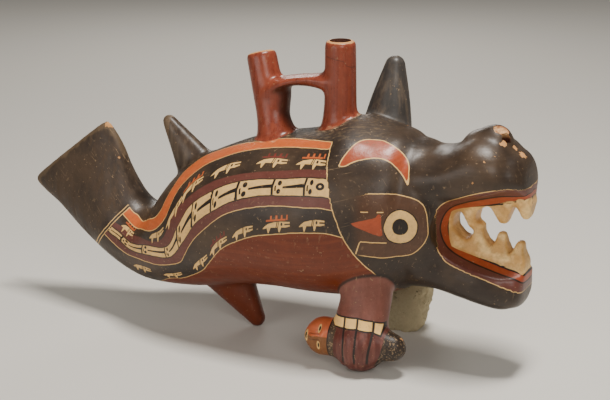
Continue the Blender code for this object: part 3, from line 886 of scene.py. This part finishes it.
def markFlank(mesh, points):
    low, top, around, along = bodyTables()
    station, up = stationsOf(points, low, top)
    girth, length = readTable(around, station, up), readTable(along, station, up)
    fields = {name: girth - readTable(around, station, heightOn(name, station)) for name in flank["lines"]}
    neckLine = curved(flank["neckLine"], 60)
    order = np.argsort(neckLine[:, 2])
    neckX = np.interp(points[:, 2], neckLine[order, 2], neckLine[order, 0])
    fields["neck"] = distanceToLine(mirrored(points), neckLine) * np.sign(points[:, 0] - neckX)
    fields["tail"] = length - readTable(along, np.full(len(points), flank["tailStation"]), up)
    fields["length"], fields["girth"] = length, girth

    # each face takes one panel and one figure, so that their edges stay clean
    vertexOf = np.empty(len(mesh.loops), int)
    mesh.loops.foreach_get("vertex_index", vertexOf)
    corners = np.empty(len(mesh.polygons), int)
    mesh.polygons.foreach_get("loop_total", corners)
    faceAt = np.repeat(np.arange(len(corners)), corners)
    faceStation, faceSide = ((np.bincount(faceAt, values[vertexOf]) / corners)[faceAt]
                             for values in (station, points[:, 1]))
    steps = np.arange(len(flank["dividers"]))
    facePanel = np.floor(np.interp(faceStation, flank["dividers"], steps))
    share = fields["panelLow"] / np.maximum(fields["panelLow"] - fields["panelTop"], 1)
    fields["panelU"] = np.interp(station, flank["dividers"], steps)[vertexOf] - facePanel
    fields["panelV"] = share[vertexOf]
    fields["panelLast"] = facePanel >= len(steps) - 2
    for number, line, row in (("1", "rowOne", "figuresOne"), ("2", "rowTwo", "figuresTwo")):
        centres, codes, sizes, talls = np.array(flank[row]).T
        nearest = np.abs(faceStation[:, None] - centres).argmin(axis=1)
        starts = np.stack([readTable(along, np.full(len(points), c), up) for c in centres])
        fromCentre = length[vertexOf] - starts[nearest, vertexOf]
        fields["u" + number] = fromCentre / sizes[nearest] * figure["half"] * 2
        fields["v" + number] = fields[line][vertexOf] / talls[nearest]
        fields["code" + number] = codes[nearest] * (faceSide < 0)
    print("flank marked")
    return fields


def markHead(points, skinTree):
    near = (points[:, 0] > 55) & (points[:, 2] > 40)
    few = mirrored(points)[near]

    def spread(values):
        full = np.full(len(points), 30.0)  # far from every mark
        full[near] = values
        return full

    def signed(outline, closing):
        # distance to a line drawn on the head, below 0 inside the outline that the closing completes
        flat, laid = layOn(outline, skinTree)
        inside = isInside(few, np.vstack((flat, closing)))
        return spread(distanceToLine(few, laid) * np.where(inside, -1, 1))

    # across the nearest stroke, with a sign so that it stays thin, and past its ends
    strokes = []
    for start, end in np.array(marks["strokes"], float):
        run = unit(end - start)
        away = few[:, [0, 2]] - start
        across = away[:, 0] * run[1] - away[:, 1] * run[0]
        past = np.maximum(-(away @ run), away @ run - np.linalg.norm(end - start))
        strokes.append((np.hypot(across, np.maximum(past, 0)), across, past))
    strokes = np.array(strokes)
    nearest, each = strokes[:, 0].argmin(axis=0), np.arange(len(few))

    fromGum = np.hypot(besideGumEdge(few), np.maximum(np.abs(few[:, 1]) - 9, 0))
    lips = curved(marks["lips"], 120)
    toLips = distanceToLine(few, lips)
    inMouth = isInside(few, np.vstack((lips[:, [0, 2]], [(230, 61), (230, 135)])))
    share = np.where(inMouth, fromGum / (fromGum + toLips + 1e-6), 1 + toLips / 10)
    fields = {"eye": spread(np.linalg.norm(few - marks["eye"], axis=1)),
              "sidePanel": signed(marks["panel"], marks["panelBack"]),
              "strokeAcross": spread(strokes[nearest, 1, each]),
              "strokePast": spread(strokes[nearest, 2, each]),
              "lipShare": spread(share), "lipLine": spread(toLips * np.where(inMouth, -1, 1))}
    for name in ("brow", "triangle"):
        fields[name] = signed(marks[name] + marks[name][:1], marks[name][:1])
    print("head marked")
    return fields


def markRegions(points, skins):
    # how much nearer a point is to the skin of its own form than to any other, below 0 where it is
    names = list(skins)
    far = np.stack([nearness(points, trees) for trees in skins.values()])
    fields = {name: far[i] - np.delete(far, i, axis=0).min(axis=0) for i, name in enumerate(names)}
    held = [names.index("fist"), names.index("hair")]
    beyond = far[held].min(axis=0) - np.delete(far, held, axis=0).min(axis=0)
    pastLine = points[:, 0] - np.interp(points[:, 2], *np.array(hand["hairLine"]).T)
    fields["hair"], fields["fist"] = np.maximum(beyond, -pastLine), np.maximum(beyond, pastLine)
    fields.update(zip(paintFields["facePlace"], faceOf(points)))
    print("regions marked")
    return fields


def markWear(obj, points):
    # ridges above 0 and hollows below 0, the worn spots, and how far below a spout's rim
    edges = np.empty(len(obj.data.edges) * 2, int)
    obj.data.edges.foreach_get("vertices", edges)
    a, b = edges.reshape(-1, 2).T
    total = len(points)
    count = np.maximum(np.bincount(a, minlength=total) + np.bincount(b, minlength=total), 1)

    def averaged(values):
        return (np.bincount(a, values[b], total) + np.bincount(b, values[a], total)) / count

    around = np.column_stack([averaged(column) for column in points.T])
    ridge = ((points - around) * normalsOf(obj)).sum(axis=1)
    for _ in range(5):
        ridge = averaged(ridge)
    chip, rim = np.full(total, 4.0), np.full(total, 30.0)
    for place, radius in marks["chips"]:
        chip = np.minimum(chip, np.linalg.norm(points - place, axis=1) / radius)
    for name in ("headSpout", "tailSpout"):
        _, end, axis, _, _ = spoutFrame(name)
        near = np.linalg.norm(points - end, axis=1) < 25
        rim = np.where(near, np.minimum(rim, (end - points) @ axis), rim)
    return {"ridge": ridge * 10, "chip": chip, "rim": rim}


# the prop

prop = {
    # x, y, z, half length, half width
    "levels": [(87.8, 47, 0, 13.4, 11.5), (88.8, 47, 5, 15, 12.3), (91, 46.5, 24, 17.5, 12.6),
               (93.2, 45.5, 46, 19.6, 12.8), (94, 43, 72, 20, 12)],
    "fullness": 2.8, "voxel": 0.9, "softened": 4, "gap": 0.4,
    # depth, size and seed of its unevenness; the lumps come in over these places along x
    "scraped": (0.9, 7), "grit": (0.25, 1.6, 5.0), "lumps": (1.5, 8, 9.0), "lumpy": (96, 106),
    # pale: painted light on the side towards +x
    "plain": "#9A8E70", "litSidePale": "#D9C9A2", "stain": "#9C8F72", "grain": "#B8AB8C", "pit": "#6A5F4A",
}


def buildProp():
    block = levelForm("plasterPropDressed", prop["levels"], 32, 60, prop["fullness"])
    remesh(block, prop["voxel"])
    smooth(block, prop["softened"])
    roughen(block, *prop["scraped"])
    roughen(block, *prop["grit"])
    even = pointsOf(block)
    roughen(block, *prop["lumps"])
    lumpy = smoothStep(even[:, 0], *prop["lumpy"])[:, None]
    movePoints(block, onFloor(even * (1 - lumpy) + pointsOf(block) * lumpy))
    grow = -prop["gap"] - 0.5  # half a mm more, for the unevenness of the throat and jaw
    cut(block, skin("throat", bodySections(3, grow), 60, body["fullness"]))
    cut(block, skin("jawClear", uprightSections(head["jaw"], head["jawTip"], grow, 3), 48,
                    head["jawFullness"]))
    return block


# materials

slip = {
    # colours of the slips and of worn places, as they look in soft light; beside them is said which are
    # painted shade and which painted light
    "black": "#30261F", "blackLight": "#4A3A2C", "blackDeep": "#211915", "maroon": "#643931",
    # creamLitNails: the nails' cream, painted brighter than the cream elsewhere as painted light from above
    "orange": "#C05E2E", "deepOrange": "#A0482A", "cream": "#E1B672", "creamLitNails": "#FFCE7C",
    "red": "#642911", "redStreak": "#7A3A1B", "spoutRed": "#86402C", "spoutDark": "#743426",
    "grey": "#3E3A37", "finStreak": "#776654", "gum": "#CA9B5A", "gumLight": "#F2CC88",
    "trophyOrange": "#CB6A43", "trophyBrown": "#80502A", "armMaroon": "#76463A", "armStreak": "#865347",
    # fistMaroonShaded: the arm's maroon painted darker on the fist, as painted shade
    "fistMaroonShaded": "#572C25", "panelBrown": "#523828", "combMaroon": "#74322A", "soil": "#6E5A40",
    # depth: painted shade under the bridge, on the left spout's flank
    "scratch": "#A98C68", "depth": "#2A1A10", "clay": "#C68F58", "clayLight": "#DDB98C",
    # bore: painted shade deep in the break's hole and inside the spouts and the hollow
    "clayDark": "#9A5E3A", "bore": "#5A3020",
}
figure = {
    # a small swimming whale, head towards +u: upper edge, lower edge, in mm
    "top": [(-14, -1.6), (-11.5, 0), (-8, 1.5), (-2, 2.2), (4, 2.4), (12.5, 1.9), (14, 1.9)],
    "low": [(-14, -1.4), (-11, -1.3), (-9.2, -1), (-8.2, -4.2), (-7.4, -4.2), (-5.4, -.9), (1.6, -1.1),
            (2.4, -4), (3.4, -4), (5, -1.2), (9, -1.4), (12.5, -.9), (14, -.9)],
    "half": 14, "high": 6, "drawnHalf": 13.2, "gaps": [(-0.2, 0.7), (1.5, 2.2)], "gapSlant": -0.3,
    "eye": (5.2, 0.7), "eyeRadius": 1.0, "mouthFrom": 8, "mouth": (0.05, 0.95),
}
paintFields = {
    # what the mesh holds for the paint, three numbers a point, in mm; the wavy ones follow the brush
    "flankA": ("orangeTop", "orangeLow", "blackLow"), "flankB": ("panelTop", "panelLow", "creamLine"),
    "flankC": ("bellyLine", "tail", "neck"), "headA": ("brow", "sidePanel", "triangle"),
    "headB": ("eye", "strokeAcross", "strokePast"), "regionA": ("spouts", "arm", "fist"),
    "regionB": ("trophy", "hair", "gums"), "regionC": ("farFin", "bellyFin", "rearFin"),
    "figureOne": ("u1", "v1", "code1"), "figureTwo": ("u2", "v2", "code2"),
    "panelPlace": ("panelU", "panelV", "panelLast"), "mouthBands": ("lipShare", "lipLine"),
    "wear": ("ridge", "chip", "rim"), "grain": ("length", "girth"),
    "facePlace": ("faceAcross", "faceUp", "faceOut"),
}
wavy = ("flankA", "flankB", "flankC", "headA", "headB", "regionA", "regionB", "regionC")
perCorner = ("figureOne", "figureTwo", "panelPlace")
softRange = {"interpolation_type": "SMOOTHSTEP", "clamp": False}
openRange = {"clamp": False}


def storeFields(mesh, fields):
    for name, parts in paintFields.items():
        values = np.zeros((len(fields[parts[0]]), 3), dtype=np.float32)
        for i, part in enumerate(parts):
            values[:, i] = fields[part]
        made = mesh.attributes.new(name, "FLOAT_VECTOR", "CORNER" if name in perCorner else "POINT")
        made.data.foreach_set("vector", values.ravel())


def allOf(*masks, operation="MULTIPLY"):
    found = masks[0]
    for mask in masks[1:]:
        found = node("Math", operation, found, mask)
    return found


def anyOf(*masks):
    return allOf(*masks, operation="MAXIMUM")


def butNot(mask, hole):
    return allOf(mask, node("Math", "SUBTRACT", 1.0, hole))


def between(field, low, high, soft=0.14):
    # 1 where a field lies from low to high, softened over a few tenths of a mm; None is no limit
    sides = []
    if low is not None:
        sides.append(node("MapRange", softRange, field, low - soft, low + soft))
    if high is not None:
        sides.append(node("MapRange", softRange, field, high - soft, high + soft, 1.0, 0.0))
    return allOf(*sides)


def speckle(vector, size, low, high, detail=3.0, stretch=(1, 1, 1)):
    # patches of noise about size mm across, 0 below low and 1 above high
    moved = node("Mapping", Vector=vector, Scale=tuple(s / (size * mm) / 2 for s in stretch))
    cloud = node("TexNoise", Vector=moved, Scale=1.0, Detail=detail, Roughness=0.6)
    return node("MapRange", softRange, cloud, low, high)


def overOutline(u, v, points, centre, reach):
    # how far v lies above a line drawn through points of (u, v), within reach of its centre
    (middleU, middleV), (half, high) = centre, reach
    place = node("MapRange", openRange, u, middleU - half, middleU + half)
    edge = node("FloatCurve", Value=place)
    line = edge.mapping.curves[0]
    spots = [((x - middleU + half) / half / 2, (y - middleV + high) / high / 2) for x, y in points]
    line.points[0].location, line.points[1].location = spots[0], spots[-1]
    for spot in spots[1:-1]:
        line.points.new(*spot)
    for each in line.points:
        each.handle_type = "VECTOR"
    edge.mapping.update()
    drawn = node("MapRange", openRange, edge, 0.0, 1.0, middleV - high, middleV + high)
    return node("Math", "SUBTRACT", v, drawn)


def fromSpot(u, v, centre, scale=(1.0, 1.0)):
    # how far a place lies from a spot, in mm that a scale can stretch
    across, upward = (node("Math", "MULTIPLY_ADD", field, size, -middle * size)
                      for field, middle, size in zip((u, v), centre, scale))
    return node("VectorMath", "LENGTH", node("CombineXYZ", X=across, Y=upward)).outputs[1]


def drawFigure(u, v):
    overLow, overTop = (overOutline(u, v, figure[edge], (0, 0), (figure["half"], figure["high"]))
                         for edge in ("low", "top"))
    shape = allOf(between(overTop, None, 0), between(overLow, 0, None),
                  between(u, -figure["drawnHalf"], figure["drawnHalf"]))
    slanted = node("Math", "MULTIPLY_ADD", v, figure["gapSlant"], u)
    for start, end in figure["gaps"]:
        shape = butNot(shape, between(slanted, start, end))
    shape = butNot(shape, between(fromSpot(u, v, figure["eye"]), None, figure["eyeRadius"]))
    return butNot(shape, allOf(between(u, figure["mouthFrom"], None), between(v, *figure["mouth"])))


def drawPanel(place, share, lastOne):
    # dark marks in a cream panel: divider, mouth, two eyes, and a bar or, in the last one, a ring
    bowed = node("Math", "MULTIPLY_ADD", node("Math", "PINGPONG", share, 0.5), 0.07, place)
    ends = anyOf(between(bowed, None, 0.08, 0.008), between(bowed, 1.012, None, 0.008))
    dash = allOf(between(bowed, 0.12, 0.165, 0.008), between(share, 0.26, 0.6, 0.02))
    eyes = [between(fromSpot(place, share, (0.225, high), (25.0, 9.5)), None, 1.5, 0.2)
            for high in (0.76, 0.24)]
    rise = node("Math", "MULTIPLY_ADD", place, -0.13, share)
    thick = node("MapRange", openRange, place, 0.3, 1.0, 0.06, 0.12)
    fromBar = node("Math", "ABSOLUTE", node("Math", "SUBTRACT", rise, 0.44))
    fromBar = node("Math", "SUBTRACT", fromBar, thick)
    bar = allOf(between(fromBar, None, 0, 0.012), between(place, 0.33, 1.0, 0.01))
    ring = allOf(between(fromSpot(place, share, (0.58, 0.55), (20.0, 17.0)), 1.2, 3.6, 0.2), lastOne)
    return anyOf(ends, dash, *eyes, butNot(bar, lastOne), ring)


def slipPaint():
    # hand-built earthenware with several slips, brushed on and burnished with a pebble before firing:
    # dense colour with soft streaks and a satin shine that wear has broken with fine scratches and chips
    made, shader = newMaterial("burnishedSlipOnEarthenware")
    objectPlace = node("TexCoord").outputs["Object"]
    wobble = node("TexNoise", Vector=objectPlace, Scale=190.0, Detail=2.0)
    wobble = node("Math", "MULTIPLY_ADD", wobble, 0.9, -0.45)
    coat = {"colour": linear(slip["black"]), "rough": 0.34}
    fields = {}

    def fieldOf(name):
        # an axis or one of the paint fields, in mm, read once
        if name not in fields and name in ("x", "y", "z"):
            axis = node("SeparateXYZ", Vector=objectPlace).outputs[name.upper()]
            fields[name] = node("Math", "DIVIDE", axis, mm)
        elif name not in fields:
            source = next(key for key, parts in paintFields.items() if name in parts)
            read = node("Attribute", source).outputs["Vector"]
            value = node("SeparateXYZ", Vector=read).outputs[paintFields[source].index(name)]
            fields[name] = node("Math", "ADD", value, wobble) if source in wavy else value
        return fields[name]

    def both(*parts):
        # 1 where all parts hold: masks, or a field's name with its least, its most and its softness
        return allOf(*[between(fieldOf(p[0]), *p[1:]) if isinstance(p, tuple) else p for p in parts])

    def either(*parts):
        return anyOf(*[both(part) for part in parts])

    def paint(name, rough, *parts, strength=1.0):
        # one more colour over what is there, wherever all parts hold
        amount = both(*parts)
        if strength < 1:
            amount = node("Math", "MULTIPLY", amount, strength)
        coat["colour"] = node("Mix", "RGBA", amount, in6=coat["colour"], in7=linear(slip[name])).outputs[2]
        coat["rough"] = node("Mix", "FLOAT", amount, in2=coat["rough"], in3=rough)

    # the dark ground and the belly
    mottled = speckle(objectPlace, 5, 0.4, 0.7)
    grainPlace = node("CombineXYZ", X=node("Math", "MULTIPLY", fieldOf("length"), mm),
                      Y=node("Math", "MULTIPLY", fieldOf("girth"), mm))
    streaks = speckle(grainPlace, 1.6, 0.42, 0.66, 4.0, (0.06, 1, 1))
    upStreaks = speckle(objectPlace, 1.8, 0.42, 0.7, 4.0, (1, 1, 0.05))
    onTail = both(("tail", None, -3, 4))
    paint("blackLight", 0.36, speckle(objectPlace, 22, 0.38, 0.7))
    paint("blackLight", 0.6, upStreaks, onTail)
    headSide, clearOfArm = both(("neck", 0, None)), both(("arm", 0, None))
    redBelly = both(("bellyLine", None, 0), ("neck", None, 0), ("tail", 30, None), clearOfArm)
    paint("red", 0.36, redBelly)
    paint("redStreak", 0.4, redBelly, streaks, strength=0.3)

    # the bands on the flank
    skinFlank = both(("tail", 2.9, None), ("neck", None, 0), ("spouts", 1, None), ("rearFin", 0.5, None),
                     clearOfArm)
    paint("maroon", 0.4, skinFlank, either(both(("blackLow", None, 0, 0.4), ("panelTop", 0.7, None)),
                                           both(("panelLow", None, -0.8), ("creamLine", 0, None, 0.3))))
    paint("orange", 0.36, skinFlank, ("orangeTop", None, 0), ("orangeLow", 0, None))
    panelHere = both(skinFlank, ("panelTop", None, -0.1), ("panelLow", 0.1, None))
    paint("cream", 0.44, panelHere)
    paint("blackDeep", 0.42, panelHere, drawPanel(*[fieldOf(name) for name in paintFields["panelPlace"]]))
    for u, v, code in (paintFields["figureOne"], paintFields["figureTwo"]):
        teeth = node("Math", "MULTIPLY_ADD", wobble, 1.6, node("Math", "PINGPONG", fieldOf(u), 2.6))
        comb = either(both(between(teeth, None, 0.85, 0.2), (v, 3.1, 6.2, 0.3), (u, -9, 11)),
                      both((v, 2.9, 3.9, 0.3), (u, -10, 9)))
        paint("orange", 0.42, skinFlank, comb, (code, 0.5, 1.5, 0.1))
        paint("combMaroon", 0.45, skinFlank, comb, (code, 1.5, 2.5, 0.1))
        paint("cream", 0.44, skinFlank, drawFigure(fieldOf(u), fieldOf(v)))
    paint("cream", 0.45, skinFlank, either(("creamLine", -0.3, 0.3), ("bellyLine", -0.32, 0.32),
                                           ("orangeTop", -0.36, 0.26), ("orangeLow", -0.32, 0.26)))
    paint("cream", 0.45, either(("tail", 0, 0.65), ("tail", 2.25, 2.9)), ("orangeTop", None, 0.4))
    paint("cream", 0.45, ("neck", -0.38, 0.38), ("orangeTop", None, 0.4), ("arm", 0.8, None))

    # the head
    paint("panelBrown", 0.34, headSide, ("sidePanel", None, 0), ("neck", 1, None), ("x", 92, None, 6))
    paint("cream", 0.42, headSide, ("sidePanel", -0.32, 0.32), ("x", 94, None, 3))
    paint("deepOrange", 0.28, ("brow", None, 0))
    paint("cream", 0.4, ("brow", -0.38, 0.38))
    paint("deepOrange", 0.38, ("triangle", None, 0))
    paint("cream", 0.42, ("strokeAcross", -0.36, 0.36), ("strokePast", None, 0))
    paint("blackDeep", 0.36, ("eye", None, 12.1))
    paint("cream", 0.4, ("eye", 5.6, 11.3))
    lipsHere = both(headSide, ("lipLine", None, 0.4), ("gums", 0.2, None))
    paint("blackDeep", 0.4, lipsHere, ("lipShare", None, 0.99, 0.01))
    paint("deepOrange", 0.36, lipsHere, ("lipShare", 0.1, 0.42, 0.02))
    paint("maroon", 0.3, lipsHere, ("lipShare", 0.5, 0.985, 0.012))
    paint("cream", 0.42, headSide, ("lipLine", -0.4, 0.3), ("gums", 2, None))
    gums = both(("gums", None, 0.2))
    paint("gum", 0.42, gums)
    paint("gumLight", 0.45, gums, mottled)

    # fins and spouts
    spoutsHere, farFin = both(("spouts", None, 1.2, 0.5)), both(("farFin", None, 0.8, 0.5))
    finsHere = either(farFin, ("rearFin", None, 1, 1))
    paint("grey", 0.4, farFin)
    paint("finStreak", 0.36, finsHere, upStreaks, strength=0.42)
    paint("red", 0.38, ("bellyFin", None, 0.3))
    paint("spoutRed", 0.28, spoutsHere)
    paint("spoutDark", 0.24, spoutsHere, upStreaks)
    # painted shade: the left spout's flank under the bridge, on faces turned down and towards +x, darkened as
    # though in the bridge's shadow
    normal = node("NewGeometry").outputs["Normal"]
    turnedIntoShade = node("VectorMath", "DOT_PRODUCT", normal, (0.75, 0.1, -0.65)).outputs[1]
    paint("depth", 0.5, spoutsHere, between(turnedIntoShade, 0.32, None, 0.22), ("z", 152, 190, 5), ("x", None, 44, 2),
          strength=0.75)
    overCrack = overOutline(fieldOf("x"), fieldOf("z"), spouts["crack"], (58, 206), (10, 6))
    paint("blackDeep", 0.5, spoutsHere, between(overCrack, -0.22, 0.22, 0.16), ("x", 49, None),
          ("y", None, 1), strength=0.6)

    # the arm, the fist and its nails
    fistHere, front = both(("fist", None, 0.3)), both(("y", None, -38, 1))
    armHere = either(("arm", None, 0.3), fistHere)
    paint("armMaroon", 0.42, armHere)
    # the fist is painted darker than the arm: painted shade low by the floor
    paint("fistMaroonShaded", 0.36, fistHere)
    paint("armStreak", 0.45, armHere, upStreaks, strength=0.5)
    paint("blackDeep", 0.45, ("arm", -0.2, 1.6, 0.8), ("z", 50, None), strength=0.85)
    nailUp = overOutline(fieldOf("x"), fieldOf("z"), hand["nailTop"], (92, 38), (22, 8))
    nailsHere = both(front, armHere, ("x", None, 108.8))
    paint("blackDeep", 0.42, nailsHere, between(nailUp, -hand["nailHeight"] - 1, 1.1))
    # the nails are cream slip, painted brighter here than the cream elsewhere: painted light where the lamp
    # above falls
    paint("creamLitNails", 0.45, nailsHere, between(nailUp, -hand["nailHeight"], 0), ("x", None, 107.6))
    for line in hand["fingerLines"]:
        fromLine = overOutline(fieldOf("z"), fieldOf("x"), line, (21, 92), (21, 14))
        paint("blackDeep", 0.42, nailsHere, between(fromLine, -hand["fingerLine"], hand["fingerLine"], 0.3),
              between(nailUp, None, 0.5), ("z", 10, None, 1.5))

    # the small head, its face calm and plain, and its hair
    trophyHere, hairHere = both(("trophy", None, 0)), both(("hair", None, 0.3))
    paint("trophyBrown", 0.38, trophyHere)
    paint("trophyOrange", 0.36, trophyHere, ("faceAcross", 0.6, None, 0.5))
    onFace = both(trophyHere, ("faceOut", 2, None))
    # dark lines beside and under the nose: a drawn outline that is also painted shade for the nose's relief
    beside = node("Math", "ABSOLUTE", fieldOf("faceAcross"))
    nose = either(both(between(beside, 1.7, 2.3, 0.2), ("faceUp", -5.4, 1.5, 0.3)),
                  both(between(beside, None, 2.3, 0.2), ("faceUp", -6, -5.4, 0.2)))
    paint("blackDeep", 0.4, onFace, nose, strength=0.6)
    for centre, narrow in (((0.4, -5.8), 0.4), ((0.4, 5.8), 0.4), ((-8.6, 0.0), 0.29)):
        # two half-closed eyes and a mouth, wider than they are high
        distance = fromSpot(fieldOf("faceUp"), fieldOf("faceAcross"), centre, (1.0, narrow))
        paint("cream", 0.42, onFace, between(distance, None, 1.2, 0.12))
        paint("blackDeep", 0.4, onFace, between(distance, None, 0.65, 0.12))
    bandHere = both(trophyHere, ("faceUp", 7.6, None, 0.3))
    paint("blackDeep", 0.4, trophyHere, ("faceUp", 6.8, None, 0.2))
    paint("blackLight", 0.45, bandHere)
    paint("black", 0.38, hairHere)

    # brushed slip varies within each colour
    tone = 0.9
    for cloud, share in ((streaks, 0.09), (speckle(objectPlace, 3, 0.3, 0.75), 0.16),
                         (speckle(objectPlace, 0.9, 0.5, 0.66), -0.1)):
        tone = node("Math", "MULTIPLY_ADD", cloud, share, tone)
    coat["colour"] = node("HueSaturation", Value=tone, Color=coat["colour"])

    # wear, from large to small
    raised = either(spoutsHere, finsHere)
    plain = butNot(either(headSide, ("orangeTop", 0.4, None, 3)), raised)
    scuffs = speckle(grainPlace, 0.9, 0.5, 0.64, 5.0, (0.35, 1, 1))
    worn = both(butNot(both(("z", 140, None, 12)), raised), ("x", None, 96, 9), ("orangeTop", 0.4, None, 2))
    coat["rough"] = node("Mix", "FLOAT", worn, in2=coat["rough"], in3=0.56)
    paint("soil", 0.6, worn, scuffs, strength=0.5)
    scratches = speckle(grainPlace, 0.7, 0.63, 0.68, 3.0, (0.07, 1, 1))
    paint("scratch", 0.55, scratches, plain, ("x", None, 84, 8), strength=0.45)
    paint("scratch", 0.6, scratches, onTail, strength=0.2)
    hairlines = speckle(objectPlace, 0.6, 0.635, 0.68, 3.0, (0.3, 1, 0.1))
    paint("scratch", 0.5, butNot(hairlines, finsHere), strength=0.15)
    pits = speckle(objectPlace, 1.1, 0.69, 0.71, 2.0)
    paint("scratch", 0.6, pits, strength=0.45)
    flecks = speckle(objectPlace, 0.8, 0.54, 0.64)
    paint("scratch", 0.4, either(hairHere, bandHere), flecks, strength=0.6)
    footField = node("Math", "MULTIPLY_ADD", mottled, 4.5, fieldOf("spouts"))
    paint("clayLight", 0.6, between(footField, 1.6, 5.5, 1.6), ("z", 120, 176, 3), scuffs, strength=0.6)
    ridgeField = node("Math", "MULTIPLY_ADD", mottled, 0.25, fieldOf("ridge"))
    paint("scratch", 0.5, between(ridgeField, 0.55, None, 0.15), onTail, strength=0.17)
    ragged = node("TexNoise", Vector=objectPlace, Scale=420.0, Detail=4.0)
    chips = between(node("Math", "MULTIPLY_ADD", ragged, 1.5, fieldOf("chip")), None, 1.65, 0.04)
    paint("clay", 0.75, chips)
    rimField = node("Math", "MULTIPLY_ADD", ragged, -2.2, fieldOf("rim"))
    paint("clay", 0.7, between(rimField, None, 0.1, 0.3), strength=0.9)

    rough, relief = coat["rough"], mottled
    for mask, share in ((mottled, 0.08), (onTail, 0.1)):
        rough = node("Math", "MULTIPLY_ADD", mask, share, rough)
    for mask, share in ((streaks, 0.25), (chips, -1.6), (pits, -0.6), (allOf(hairHere, flecks), 2.0)):
        relief = node("Math", "MULTIPLY_ADD", mask, share, relief)
    bump = node("Bump", Height=relief, Distance=0.00012, Strength=0.6)
    feed(shader, Base_Color=coat["colour"], Roughness=rough, Normal=bump, IOR=1.5, Specular_IOR_Level=0.38)
    return made


def layered(colour, *layers):
    # one colour over another, each by its mask and its strength
    for mask, shade, strength in layers:
        amount = node("Math", "MULTIPLY", mask, strength)
        colour = node("Mix", "RGBA", amount, in6=colour, in7=linear(shade)).outputs[2]
    return colour


def bareClay():
    # fired clay where the snout broke, and inside the spouts: rough, sandy and unslipped
    made, shader = newMaterial("brokenEarthenware")
    place = node("TexCoord").outputs["Object"]
    grains, patches = speckle(place, 0.8, 0.35, 0.7), speckle(place, 3.5, 0.4, 0.65)
    axes = node("SeparateXYZ", Vector=place)
    atBreak = allOf(between(axes.outputs["Z"], 0.1655, None, 0.0015),
                    between(axes.outputs["X"], 0.15, None, 0.001))
    # away from the break's face, deep in its hole and inside the spouts and the hollow, the clay is painted
    # darker: painted shade in the recesses
    colour = layered(linear(slip["clay"]), (grains, slip["clayLight"], 1.0), (patches, slip["clayDark"], 1.0),
                     (node("Math", "SUBTRACT", 1.0, atBreak), slip["bore"], 1.0))
    bump = node("Bump", Height=grains, Distance=0.0003, Strength=0.8)
    feed(shader, Base_Color=colour, Roughness=0.85, Normal=bump)
    return made


def roughPlaster():
    # plaster poured and scraped by hand: chalky, pitted, stained olive grey, and painted paler towards +x as
    # painted light on its lit side
    made, shader = newMaterial("scrapedPlaster")
    place = node("TexCoord").outputs["Object"]
    stains, grains = speckle(place, 14, 0.4, 0.62, 4.0), speckle(place, 0.9, 0.35, 0.7)
    pits = speckle(place, 1.8, 0.62, 0.68)
    side = node("SeparateXYZ", Vector=place).outputs["X"]
    # painted light: the side towards +x made paler, as where the lamps fall on it
    litSidePale = node("MapRange", None, side, 0.088, 0.108)
    colour = layered(linear(prop["plain"]), (litSidePale, prop["litSidePale"], 1.0), (stains, prop["stain"], 0.6),
                     (grains, prop["grain"], 0.35), (pits, prop["pit"], 0.7))
    height = node("Math", "MULTIPLY_ADD", pits, -1.5, grains)
    bump = node("Bump", Height=height, Distance=0.0004, Strength=0.9)
    feed(shader, Base_Color=colour, Roughness=0.9, Normal=bump)
    return made


# making it

buildStudio()
vessel, skins = buildVessel()
painted, broken, plaster = slipPaint(), bareClay(), roughPlaster()
coverWith(vessel, painted)
for cutter in (*breakCutters(), hollowCutter()):
    coverWith(cutter, broken)
    cut(vessel, cutter)
vesselPoints = pointsOf(vessel)
unpressed = beforePressing(vesselPoints)
storeFields(vessel.data, {**markFlank(vessel.data, vesselPoints), **markHead(unpressed, treeOf(vessel)),
                          **markRegions(unpressed, skins), **markWear(vessel, vesselPoints)})
propBlock = buildProp()
coverWith(propBlock, plaster)
for piece, cadNode, finish in ((vessel, "vessel", "slip_painted_clay"),
                               (propBlock, "plaster_prop", "plaster")):
    pick(piece)
    bpy.ops.object.shade_smooth_by_angle(angle=math.radians(40))
    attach(piece, "root")
    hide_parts(cadNode)
    print(piece.name, "triangles", sum(len(p.vertices) - 2 for p in piece.data.polygons),
          "materials", [m.name for m in piece.data.materials])
